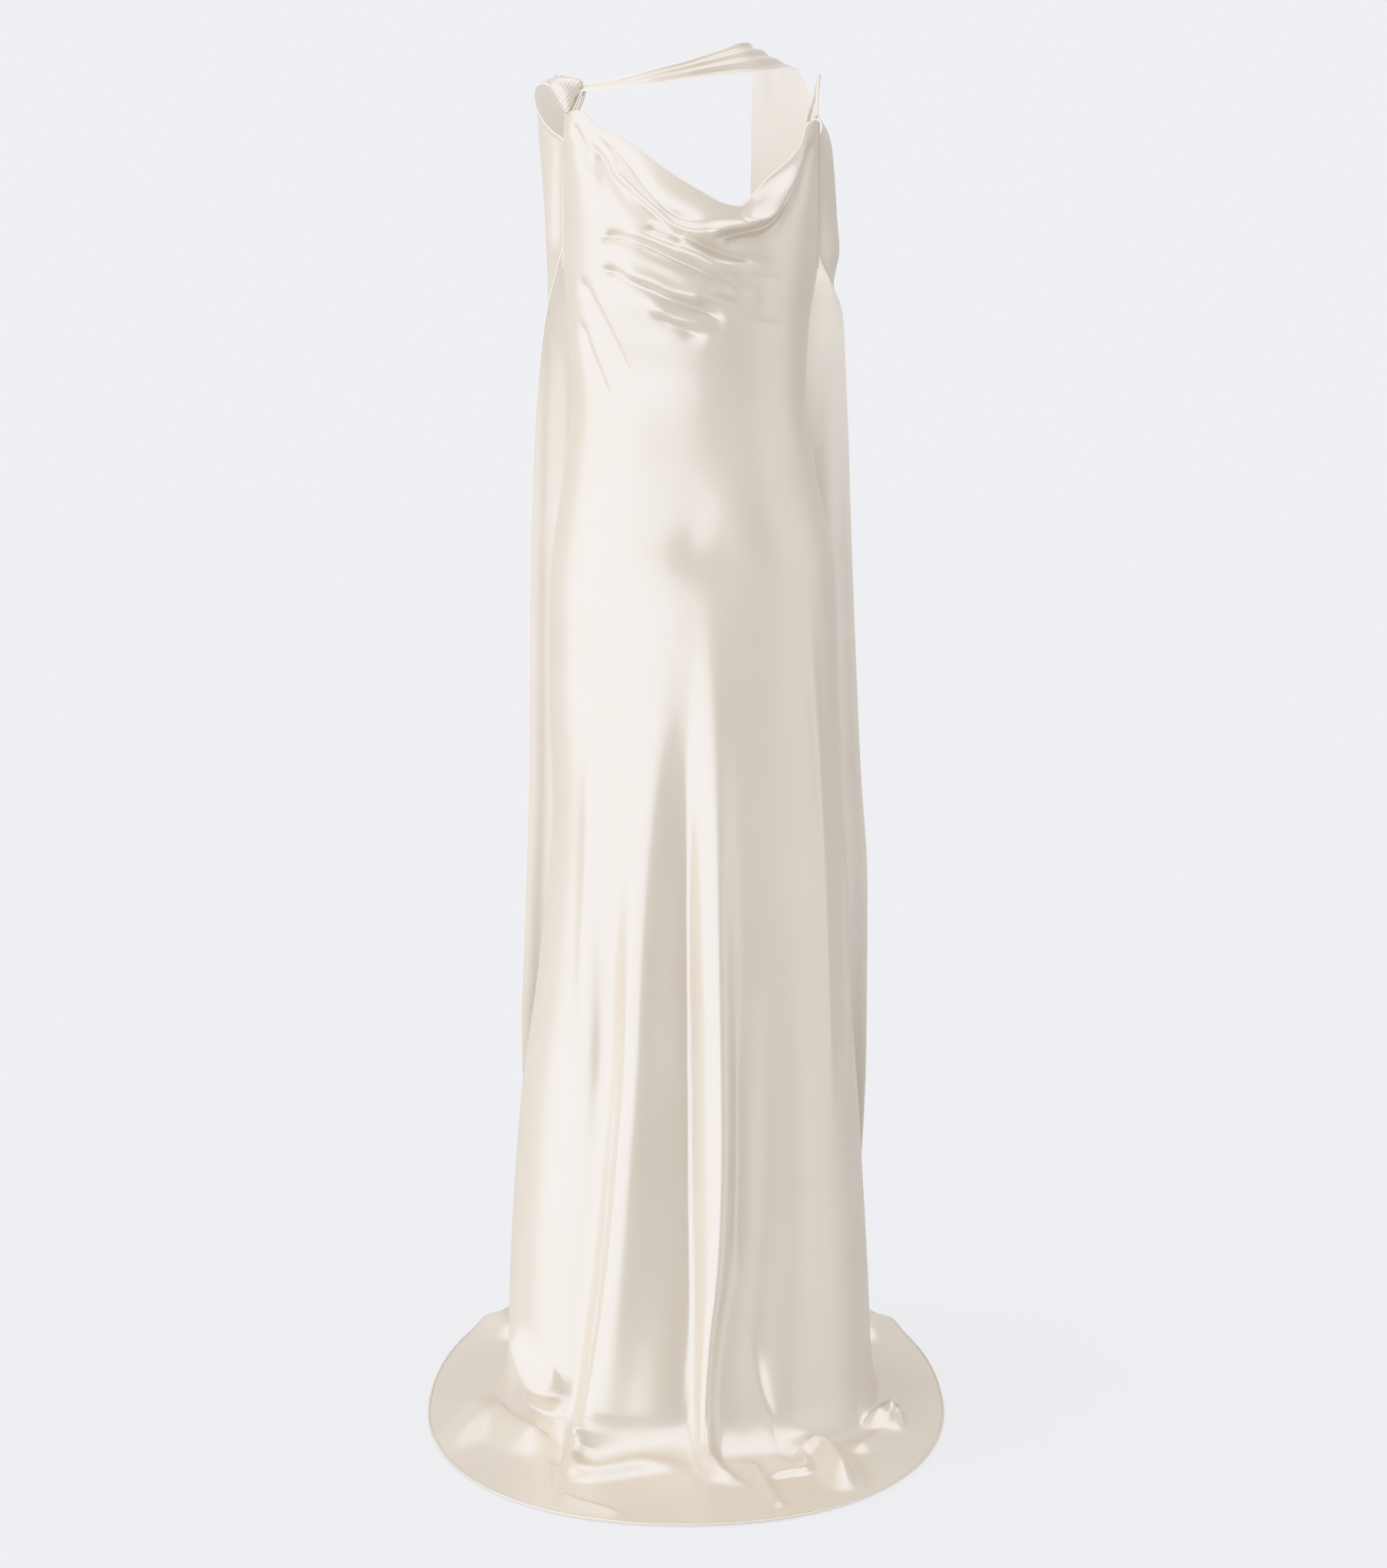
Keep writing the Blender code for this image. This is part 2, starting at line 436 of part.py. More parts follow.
def armhole(z, side):
    """Where a cape is sewn on: just behind the front's side edge, at one height."""
    return dress_point(side * np.pi / 2, drop_at(z)) + ARMHOLE_STEP * [side, 1, 1]


def cape_grid(table, side):
    """Rows of the cape: each a smooth curve through its four points."""
    rows = []
    for row in table:
        edge = armhole(row.edge[2], side) if row.edge[0] is None else row.edge
        fall = (row.inner[2] - edge[2]) / 3
        rows.append([edge, (*row.side, edge[2] + fall), (*row.back, edge[2] + 2 * fall), row.inner])
    rows = np.array(rows)
    index = np.arange(len(table))
    sewn = [place for place, row in enumerate(table) if row.edge[0] is None]
    at = np.concatenate([np.arange(0, CAPE_SHOULDER_ROWS, 0.5), index[CAPE_SHOULDER_ROWS:]])
    rows = np.stack([smooth(index, column, at) for column in rows.reshape(len(table), -1).T], -1)
    rows = rows.reshape(len(at), 4, 3)
    for row, place in zip(rows, at):
        if sewn[0] <= place <= sewn[-1]:
            row[0] = armhole(row[0, 2], side)
    return np.array([smooth_path(row, CAPE_COLUMNS) for row in rows])


def cape_outward(grid):
    """Away from a line inside the shoulder."""
    centre = grid.mean(axis=1, keepdims=True) * [0.55, 0.3, 1.0]
    return grid - centre


def make_cape(name, table, side):
    grid = cape_grid(table, side)
    outward = cape_outward(grid)
    normals = grid_normals(grid, outward)
    across = np.linspace(0, 1, grid.shape[1])[None]
    free = ease((1.40 - grid[:, :, 2]) / 0.5)
    wave = CAPE_WAVE * free * ease(across / 0.15) * np.sin(2 * np.pi * CAPE_WAVES * across + side)
    grid = grid + normals * wave[..., None]
    cloth_wall(name, grid, grid_normals(grid, outward), satin)


def make_scarf():
    lower = smooth_path([row.lower for row in SCARF], 21)
    upper = smooth_path([row.upper for row in SCARF], 21)
    across = np.linspace(0, 1, 11)[None, :, None]
    grid = lower[:, None] + (upper - lower)[:, None] * across
    outward = np.stack([0 * grid[..., 0], -np.ones(grid.shape[:2]), 0.6 * np.ones(grid.shape[:2])], -1)
    normals = grid_normals(grid, outward)
    width = np.linalg.norm(upper - lower, axis=-1)[:, None]
    swell = SCARF_BOW * np.sin(np.pi * across[..., 0]) * ease(width / 0.04)
    pleat = SCARF_PLEAT * np.cos(2 * np.pi * SCARF_PLEATS * across[..., 0]) * ease(width / 0.03)
    pleat = pleat * ease(np.linspace(5, 0, len(grid)))[:, None]
    grid = grid + normals * (swell + pleat)[..., None]
    cloth_wall("neck_scarf", grid, grid_normals(grid, outward), satin)


def make_knot():
    """A bundle tied round with slanting wraps, wide at the top and narrow at the bottom."""
    rows, columns = 15, 24
    top, bottom = np.array(KNOT_TOP), np.array(KNOT_BOTTOM)
    vertices, faces = [top], []
    for row in range(1, rows):
        down = row / rows
        centre = top + (bottom - top) * (1 - np.cos(np.pi * down)) / 2
        girth = np.sin(np.pi * down) ** KNOT_SQUARE * (1 - KNOT_LEAN * down)
        for column in range(columns):
            turn = 2 * np.pi * column / columns
            wrap = KNOT_WRAP * np.cos(2 * np.pi * (KNOT_WRAPS * down + KNOT_SLANT * np.cos(turn)))
            half = (np.array(KNOT_HALF) + wrap) * girth
            vertices.append(centre + [half[0] * np.cos(turn), half[1] * np.sin(turn), 0])
    vertices.append(bottom)
    for column in range(columns):
        faces.append((0, 1 + column, 1 + (column + 1) % columns))
    for row in range(rows - 2):
        first = 1 + row * columns
        for column in range(columns):
            after = (column + 1) % columns
            faces.append((first + column, first + columns + column, first + columns + after, first + after))
    last = 1 + (rows - 2) * columns
    for column in range(columns):
        faces.append((last + column, len(vertices) - 1, last + (column + 1) % columns))
    add_object("shoulder_knot", vertices, faces, satin)


def make_strap():
    curve = bpy.data.curves.new("shoulder_strap", "CURVE")
    curve.dimensions = "3D"
    curve.bevel_depth = STRAP_RADIUS
    curve.bevel_resolution = 2
    curve.use_fill_caps = True
    spline = curve.splines.new("POLY")
    path = smooth_path(STRAP, 44)
    spline.points.add(len(path) - 1)
    for point, place in zip(spline.points, path):
        point.co = (*place, 1)
    curve.materials.append(satin)
    made = bpy.data.objects.new("shoulder_strap", curve)
    bpy.context.collection.objects.link(made)
    made.parent = shoulders


for old in list(bpy.data.objects):
    bpy.data.objects.remove(old, do_unlink=True)
shoulders = bpy.data.objects.new("shoulders", None)
shoulders.location = (0, 0, -SHOULDER_HEIGHT)
bpy.context.collection.objects.link(shoulders)
satin = material("ivory_satin", IVORY, 0.35)

make_front()
make_back()
make_cape("cape_right", CAPE_RIGHT, -1)
make_cape("cape_left", CAPE_LEFT, 1)
make_scarf()
make_knot()
make_strap()
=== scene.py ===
import math

import bpy
import numpy as np
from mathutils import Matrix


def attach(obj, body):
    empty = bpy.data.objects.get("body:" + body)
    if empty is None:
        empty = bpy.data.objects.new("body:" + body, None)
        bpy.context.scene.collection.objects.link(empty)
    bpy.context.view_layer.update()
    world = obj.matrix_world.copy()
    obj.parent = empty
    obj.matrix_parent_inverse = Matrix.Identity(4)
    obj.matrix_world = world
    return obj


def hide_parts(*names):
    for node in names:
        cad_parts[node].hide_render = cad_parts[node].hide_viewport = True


# A bias-cut satin wedding dress as worn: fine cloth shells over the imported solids, with their
# folds, hems, seams and stitches. Metres, +Z up, the front faces -Y, the wearer's left is +X.
# Tables give heights above the floor, and every mesh is lowered by the shoulders' height.

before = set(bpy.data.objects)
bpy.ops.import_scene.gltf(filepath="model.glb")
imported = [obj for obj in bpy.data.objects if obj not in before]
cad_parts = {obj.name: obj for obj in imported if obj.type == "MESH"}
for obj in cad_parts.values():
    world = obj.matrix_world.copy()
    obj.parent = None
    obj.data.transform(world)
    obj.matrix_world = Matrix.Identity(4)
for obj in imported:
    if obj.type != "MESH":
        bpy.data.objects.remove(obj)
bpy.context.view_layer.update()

dress = {
    "shoulderHeight": 1.52,
    "roundness": 2.2,  # exponent of the oval cross-sections
    "clothThickness": 0.0009,
    "reverseRoom": 1.5,  # how far the coarser reverse keeps off the face, in depths of its own sag
    "floorFoldHeight": 0.008,  # of the curves that folds on the floor run along
    "foldPoints": 40,  # points of the curve that a fold runs along
    "foldReach": 2.6,  # a soft fold has died out this many flank widths from its middle
    "creaseRadius": 0.0020,  # how round the bottom of a sharp crease is
    "creaseReach": 5.5,  # and a sharp one this many
    "underarmDrop": 0.174,  # where the side seams start
    "bustDrop": 0.164,
    "hemDrop": 1.700,
    # drop of cloth, height, xMin, xMax, yFront, yBack, ySide, degrees of the seam behind the side
    "sections": [
        (0.000, 1.530, -0.132, 0.143, -0.100, 0.080, -0.052, 0),
        (0.030, 1.500, -0.135, 0.1455, -0.112, 0.090, -0.036, 0),
        (0.070, 1.460, -0.1375, 0.146, -0.126, 0.098, -0.018, 0),
        (0.120, 1.410, -0.139, 0.147, -0.136, 0.103, -0.005, 0),
        (0.164, 1.366, -0.139, 0.147, -0.138, 0.104, 0.000, 0),
        (0.250, 1.280, -0.134, 0.137, -0.119, 0.099, 0.002, 2),
        (0.320, 1.210, -0.131, 0.134, -0.106, 0.092, 0.003, 3),
        (0.410, 1.120, -0.141, 0.147, -0.112, 0.110, 0.004, 4),
        (0.530, 1.000, -0.157, 0.170, -0.120, 0.134, 0.006, 5),
        (0.650, 0.880, -0.160, 0.174, -0.122, 0.135, 0.012, 6),
        (0.790, 0.740, -0.157, 0.181, -0.123, 0.133, 0.020, 7),
        (0.970, 0.560, -0.173, 0.189, -0.128, 0.142, 0.030, 9),
        (1.170, 0.360, -0.200, 0.204, -0.134, 0.166, 0.042, 12),
        (1.370, 0.160, -0.214, 0.217, -0.140, 0.205, 0.054, 16),
        (1.480, 0.052, -0.218, 0.223, -0.156, 0.245, 0.060, 18),
        (1.540, 0.013, -0.228, 0.233, -0.196, 0.290, 0.060, 19),
        (1.610, 0.006, -0.262, 0.262, -0.262, 0.372, 0.052, 20),
        (1.700, 0.0034, -0.311, 0.307, -0.348, 0.500, 0.045, 20),
    ],
}


# ---- curves and tables

def smooth(knots, values, at):
    # monotone cubic through a table, so that no outline swings past its own rows
    knots, values, at = (np.asarray(part, float) for part in (knots, values, at))
    step = np.diff(knots)
    rise = np.diff(values) / step
    turn = rise[:-1] * rise[1:]
    total = np.where(turn > 0, rise[:-1] + rise[1:], 1.0)
    slope = np.empty_like(values)
    slope[1:-1] = np.where(turn > 0, 2 * turn / total, 0.0)
    slope[0], slope[-1] = rise[0], rise[-1]
    place = np.clip(np.searchsorted(knots, at, side="right") - 1, 0, len(step) - 1)
    t = (at - knots[place]) / step[place]
    return (
        values[place] * (1 + 2 * t) * (1 - t) ** 2
        + values[place + 1] * t * t * (3 - 2 * t)
        + step[place] * (slope[place] * t * (1 - t) ** 2 - slope[place + 1] * t * t * (1 - t))
    )


def arcLengths(points):
    return np.concatenate([[0], np.cumsum(np.linalg.norm(np.diff(points, axis=0), axis=1))])


def pointsAlong(at, along, points):
    return np.stack([np.interp(at, along, points[:, axis]) for axis in range(3)], -1)


def smoothPath(points, count):
    points = np.asarray(points, float)
    along = arcLengths(points)
    at = np.linspace(0, along[-1], count)
    return np.stack([smooth(along, points[:, axis], at) for axis in range(3)], axis=1)


def ease(value):
    value = np.clip(value, 0, 1)
    return value * value * (3 - 2 * value)


# ---- the dress as a tube of oval sections

sectionTable = np.array(dress["sections"])
sectionColumns = {"z": 1, "xMin": 2, "xMax": 3, "yFront": 4, "yBack": 5, "ySide": 6, "seam": 7}


def tubeSize(name, drop):
    return smooth(sectionTable[:, 0], sectionTable[:, sectionColumns[name]], drop)


def rounded(value):
    return np.sign(value) * np.abs(value) ** (2 / dress["roundness"])


def tubePoint(angle, drop):
    # angle is 0 at the middle of the front and 90 degrees at the wearer's left side
    xMin, xMax = tubeSize("xMin", drop), tubeSize("xMax", drop)
    yFront, yBack, ySide = (tubeSize(name, drop) for name in ("yFront", "yBack", "ySide"))
    forward = rounded(np.cos(angle))
    depth = np.where(forward > 0, ySide - yFront, yBack - ySide)
    x = (xMin + xMax) / 2 + (xMax - xMin) / 2 * rounded(np.sin(angle))
    return np.stack([x, ySide - depth * forward, tubeSize("z", drop) + 0 * angle], axis=-1)


def dropAt(z):
    return dress["sections"][0][1] - np.asarray(z, float)  # on the upright part


def onWall(x, z, back):
    drop = dropAt(z)
    xMin, xMax = tubeSize("xMin", drop), tubeSize("xMax", drop)
    across = np.clip((x - (xMin + xMax) / 2) / ((xMax - xMin) / 2), -1, 1)
    angle = np.arcsin(np.sign(across) * np.abs(across) ** (dress["roundness"] / 2))
    return tubePoint(np.pi - angle if back else angle, drop)


def surfaceNormal(angle, drop):
    step = 1e-3
    over = tubePoint(angle + step, drop) - tubePoint(angle - step, drop)
    down = tubePoint(angle, drop + step) - tubePoint(angle, drop - step)
    normal = np.cross(down, over)
    return normal / np.linalg.norm(normal, axis=-1, keepdims=True)


def foldHeight(points, normals, fold, sharp=False):
    # a bell across the fold's run, or a peak where it is sharp, rising over "grow" of its length
    # and dying over "fade" of it; a flank is one width or the widths at the fold's start and end
    face, height, left, right, grow, fade, wall, floor = fold
    anchors = [onWall(x, z, face == "back") for x, z in wall]
    anchors += [(x, y, dress["floorFoldHeight"]) for x, y in floor]
    path = smoothPath(anchors, dress["foldPoints"])
    start, run = path[:-1], np.diff(path, axis=0)
    reach = max(np.max(left), np.max(right)) * dress["creaseReach" if sharp else "foldReach"]
    near = ((points > path.min(axis=0) - reach) & (points < path.max(axis=0) + reach)).all(axis=1)
    heights = np.zeros(len(points))
    points, normals = points[near], normals[near]
    gap = points[:, None] - start
    t = np.clip((gap * run).sum(-1) / (run * run).sum(-1), 0, 1)
    gap = gap - t[..., None] * run
    nearest = (gap * gap).sum(-1).argmin(axis=1)
    row = np.arange(len(points))
    gap, run = gap[row, nearest], run[nearest]
    share = (nearest + t[row, nearest]) / len(start)
    flanks = [np.interp(share, [0, 1], np.broadcast_to(flank, 2)) for flank in (left, right)]
    width = np.where((np.cross(normals, run) * gap).sum(-1) > 0, *flanks)
    apart = (gap * gap).sum(-1)
    if sharp:
        bell = np.exp((dress["creaseRadius"] - np.sqrt(apart + dress["creaseRadius"] ** 2)) / width)
    else:
        bell = np.exp(-apart / (width * width))
    heights[near] = height * bell * ease(share / grow) * ease((1 - share) / fade)
    return heights


# The large folds, which the solids have too: height, left and right flank, grow, fade, the places
# on the upright cloth as (x, z) and on the floor as (x, y). Minus heights are troughs.
mainFolds = {
    "front": [
        # long folds down the skirt; the middle trough and the ridge beside it start a little higher
        # than in the solids
        (-0.012, 0.030, 0.022, 0.45, 0.15,
         [(-0.080, 0.800), (-0.092, 0.650), (-0.098, 0.450), (-0.108, 0.300), (-0.122, 0.160),
          (-0.132, 0.075), (-0.136, 0.040)],
         [(-0.143, -0.155), (-0.150, -0.190)]),
        (0.020, (0.026, 0.040), (0.024, 0.016), 0.5, 0.05,
         [(-0.018, 0.945), (-0.034, 0.860), (-0.046, 0.740), (-0.055, 0.594), (-0.062, 0.467),
          (-0.074, 0.357), (-0.088, 0.229), (-0.104, 0.122), (-0.112, 0.070), (-0.117, 0.040)],
         [(-0.123, -0.166), (-0.130, -0.182)]),
        (-0.010, 0.012, (0.026, 0.036), 0.4, 0.1,
         [(0.006, 1.000), (0.006, 0.920), (0.001, 0.750), (0.000, 0.600), (0.001, 0.450), (0.003, 0.235),
          (0.006, 0.110), (0.006, 0.050)],
         [(0.008, -0.200)]),
        (0.019, (0.020, 0.009), (0.032, 0.009), 0.42, 0.08,
         [(0.024, 1.005), (0.027, 0.945), (0.033, 0.800), (0.035, 0.600), (0.038, 0.360), (0.034, 0.234),
          (0.022, 0.130), (0.018, 0.075), (0.019, 0.040)],
         [(0.023, -0.194), (0.030, -0.214), (0.042, -0.234), (0.055, -0.243), (0.065, -0.235),
          (0.067, -0.218)]),
        (-0.009, 0.030, 0.026, 0.5, 0.2,
         [(0.092, 0.700), (0.096, 0.500), (0.094, 0.300), (0.084, 0.150), (0.080, 0.075), (0.080, 0.040)],
         [(0.083, -0.182), (0.096, -0.210)]),
        # folds of the puddle in front
        (0.018, 0.032, 0.030, 0.3, 0.3,
         [], [(-0.226, -0.005), (-0.204, -0.085), (-0.172, -0.130), (-0.150, -0.165)]),
        (0.014, 0.022, 0.022, 0.35, 0.4, [], [(-0.240, 0.040), (-0.250, -0.050), (-0.272, -0.150)]),
        (0.015, (0.008, 0.026), (0.006, 0.014), 0.1, 0.3,
         [(-0.117, 0.040)],
         [(-0.128, -0.168), (-0.1343, -0.183), (-0.133, -0.204), (-0.125, -0.219), (-0.110, -0.226),
          (-0.085, -0.220), (-0.055, -0.210), (-0.020, -0.207), (0.012, -0.214)]),
        (0.022, (0.012, 0.014), (0.012, 0.018), 0.25, 0.35,
         [], [(0.108, -0.160), (0.134, -0.150), (0.155, -0.160), (0.168, -0.190), (0.180, -0.265)]),
        (0.018, 0.020, 0.020, 0.4, 0.35, [], [(0.196, -0.062), (0.226, -0.060), (0.258, -0.048)]),
    ],
    "back": [
        # low cowl, three long folds, two folds of the train
        (0.010, 0.016, 0.020, 0.3, 0.3,
         [(-0.100, 1.215), (-0.060, 1.160), (0.000, 1.135), (0.060, 1.160), (0.100, 1.215)], []),
        (0.018, 0.028, 0.026, 0.5, 0.3,
         [(-0.036, 0.930), (-0.052, 0.700), (-0.068, 0.450), (-0.088, 0.200)],
         [(-0.110, 0.320), (-0.142, 0.430)]),
        (0.015, 0.026, 0.028, 0.5, 0.3,
         [(0.010, 0.900), (0.014, 0.650), (0.012, 0.400), (0.006, 0.180)],
         [(0.000, 0.330), (-0.008, 0.440)]),
        (0.018, 0.026, 0.028, 0.5, 0.3,
         [(0.058, 0.930), (0.076, 0.700), (0.092, 0.450), (0.106, 0.200)],
         [(0.130, 0.315), (0.165, 0.415)]),
        (0.016, 0.024, 0.024, 0.35, 0.35, [], [(-0.208, 0.222), (-0.236, 0.280), (-0.250, 0.345)]),
        (0.016, 0.024, 0.024, 0.35, 0.35, [], [(0.205, 0.215), (0.238, 0.270), (0.252, 0.335)]),
    ],
}


def allFacing(face, folds):
    return [(face, *fold) for fold in folds]


def dressPoint(angle, drop, folds=(), creases=()):
    angle, drop = np.broadcast_arrays(angle, drop)
    points, normals = tubePoint(angle, drop), surfaceNormal(angle, drop)
    flatPoints, flatNormals = points.reshape(-1, 3), normals.reshape(-1, 3)
    folds = [*allFacing("front", mainFolds["front"]), *allFacing("back", mainFolds["back"]), *folds]
    height = sum(foldHeight(flatPoints, flatNormals, fold) for fold in folds)
    height = height + sum(foldHeight(flatPoints, flatNormals, crease, True) for crease in creases)
    return points + normals * height.reshape(angle.shape)[..., None]


def gridNormals(grid, outward):
    normals = np.cross(np.gradient(grid, axis=1), np.gradient(grid, axis=0))
    normals /= np.linalg.norm(normals, axis=-1, keepdims=True) + 1e-12
    return normals * np.sign((normals * outward).sum())


# ---- shader maths as plain expressions

class Link:
    # one socket of a node tree; + - and * add Math nodes, node() adds any other node
    def __init__(self, tree, socket=None):
        self.tree, self.socket = tree, socket

    def node(self, kind, settings=None, sockets=None, output=0):
        made = self.tree.nodes.new(kind)
        for name, value in (settings or {}).items():
            setattr(made, name, value)
        for name, value in (sockets or {}).items():
            if isinstance(value, Link):
                self.tree.links.new(value.socket, made.inputs[name])
            else:
                made.inputs[name].default_value = value
        return Link(self.tree, made.outputs[output] if made.outputs else None)

    def math(self, operation, first, second=0.0):
        return self.node("ShaderNodeMath", {"operation": operation}, {0: first, 1: second})

    def __add__(self, other):
        return self.math("ADD", self, other)

    def __radd__(self, other):
        return self.math("ADD", other, self)

    def __sub__(self, other):
        return self.math("SUBTRACT", self, other)

    def __rsub__(self, other):
        return self.math("SUBTRACT", other, self)

    def __mul__(self, other):
        return self.math("MULTIPLY", self, other)

    def __rmul__(self, other):
        return self.math("MULTIPLY", other, self)

    def mix(self, first, second):
        # this value is the share of the second colour
        return self.node("ShaderNodeMix", {"data_type": "RGBA"}, {0: self, 6: first, 7: second}, 2)

    def rise(self, low, high):
        # a soft step from 0 at low to 1 at high
        return self.node("ShaderNodeMapRange", {"interpolation_type": "SMOOTHSTEP"},
                         {"Value": self, "From Min": low, "From Max": high})


def newMaterial(name):
    made = bpy.data.materials.new(name)
    made.use_nodes = True
    made.node_tree.nodes.clear()
    return made, Link(made.node_tree)


def rgba(colour):
    return (*colour, 1)


satin = {
    "twillPitch": 0.0011,  # spacing of the bias twill, larger than life so that it reads close up
    "twillDepth": 0.000003,
    "twillRib": 0.31,  # pace of the rib across the twill, as a share of the twill's own
    "slubScale": 210.0,
    "slubDepth": 1.2,  # in twill depths
    "puckerSize": 0.035,  # slow unevenness of the draped cloth
    "puckerDepth": 0.00030,
    "blotchScale": 9.0,
    "blotchEdge": (0.35, 0.68),  # where the deep colour begins, and where it is full
    "paintedGlowColour": (0.90, 0.88, 0.85),  # painted glow: a fixed light the cloth gives out in place of the light that comes through it
    "rollGirth": 0.01,  # how far round a rolled edge the weave is laid
    # deepColour is where the dye lies a little richer, metallic the share of light that the long
    # floats send back in the cloth's own colour, and relief how much of the bumps a finish has
    # glow is the strength of a painted glow: the reverse gives out a fixed light that stands in for light
    # coming through the thin cloth and brightens its shaded insides
    "face": {"colour": (0.610, 0.542, 0.448), "deepColour": (0.596, 0.524, 0.424), "roughness": 0.28,
             "metallic": 0.06, "ior": 3.0, "sheen": 0.0, "glow": 0.0, "relief": 1.0},
    "reverse": {"colour": (0.84, 0.81, 0.76), "deepColour": (0.82, 0.785, 0.73), "roughness": 0.62,
                "metallic": 0.0, "ior": 1.5, "sheen": 0.0, "glow": 0.11, "relief": 0.7},
    "thread": {"colour": (0.68, 0.64, 0.57), "deepColour": (0.596, 0.524, 0.424), "roughness": 0.45,
               "metallic": 0.0, "ior": 1.5, "sheen": 0.2, "glow": 0.0, "relief": 0.3},
}


def clothMaterial(name, finish):
    made, start = newMaterial(name)
    place = start.node("ShaderNodeTexCoord", output=3)
    clothMap = start.node("ShaderNodeUVMap", {"uv_map": "cloth"})
    across = start.node("ShaderNodeSeparateXYZ", sockets={0: clothMap}, output=0)
    along = start.node("ShaderNodeSeparateXYZ", sockets={0: clothMap}, output=1)
    turn = 2 * math.pi / satin["twillPitch"]
    line = start.math("SINE", (across + along) * turn)
    rib = start.math("SINE", (across - along) * (turn * satin["twillRib"]))
    blotch = start.node("ShaderNodeTexNoise", sockets={
        "Vector": place, "Scale": satin["blotchScale"], "Detail": 3.0})
    slub = start.node("ShaderNodeTexNoise", sockets={
        "Vector": place, "Scale": satin["slubScale"], "Detail": 2.0})
    pucker = start.node("ShaderNodeTexNoise", sockets={
        "Vector": place, "Scale": 1 / satin["puckerSize"], "Detail": 2.0, "Roughness": 0.45})
    weave = line * rib * satin["twillDepth"] + pucker * satin["puckerDepth"]
    weave = weave + slub * (satin["twillDepth"] * satin["slubDepth"])
    normal = start.node("ShaderNodeBump", sockets={
        "Strength": 1.0, "Distance": 1.0, "Height": weave * finish["relief"]})
    colours = blotch.rise(*satin["blotchEdge"]).mix(rgba(finish["colour"]), rgba(finish["deepColour"]))
    # the emission is painted glow, not a lamp: a finish with glow gives out a fixed light over its whole
    # surface
    shader = start.node("ShaderNodeBsdfPrincipled", sockets={
        "Base Color": colours, "Metallic": finish["metallic"], "Roughness": finish["roughness"],
        "IOR": finish["ior"], "Sheen Weight": finish["sheen"], "Sheen Roughness": 0.4,
        "Sheen Tint": rgba(finish["colour"]), "Emission Color": rgba(satin["paintedGlowColour"]),
        "Emission Strength": finish["glow"], "Normal": normal})
    start.node("ShaderNodeOutputMaterial", sockets={"Surface": shader})
    return made


satinFace = clothMaterial("satinFace", satin["face"])
satinReverse = clothMaterial("satinReverse", satin["reverse"])
satinThread = clothMaterial("satinThread", satin["thread"])
print("finishes made")


# ---- pieces

def addPiece(name, vertices, faces, finishes, finishOf=None, clothMap=None, hidden=()):
    mesh = bpy.data.meshes.new(name)
    vertices = np.asarray(vertices, float) - [0, 0, dress["shoulderHeight"]]
    mesh.from_pydata(vertices.tolist(), [], faces)
    mesh.shade_smooth()
    for finish in finishes:
        mesh.materials.append(finish)
    if finishOf is not None:
        mesh.polygons.foreach_set("material_index", np.asarray(finishOf, np.int32))
    corners = np.empty(len(mesh.loops), np.int32)
    mesh.loops.foreach_get("vertex_index", corners)
    if clothMap is None:
        clothMap = vertices[:, [0, 2]]
    layer = mesh.uv_layers.new(name="cloth")
    layer.uv.foreach_set("vector", np.asarray(clothMap, np.float32)[corners].ravel())
    mesh.update()
    piece = bpy.data.objects.new(name, mesh)
    bpy.context.collection.objects.link(piece)
    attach(piece, "root")
    if hidden:
        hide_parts(*hidden)
    return piece


def rimOf(index):
    return np.concatenate([index[0], index[1:, -1], index[-1, -2::-1], index[-2:0:-1, 0]])


def gridFaces(index):
    return np.stack([index[:-1, :-1], index[1:, :-1], index[1:, 1:], index[:-1, 1:]], -1).reshape(-1, 4)


def betweenEvenRows(grid):
    # the grid as its even rows and columns alone would draw it
    flat = grid.copy()
    flat[1::2] = (flat[:-1:2] + flat[2::2]) / 2
    flat[:, 1::2] = (flat[:, :-1:2] + flat[:, 2::2]) / 2
    return flat


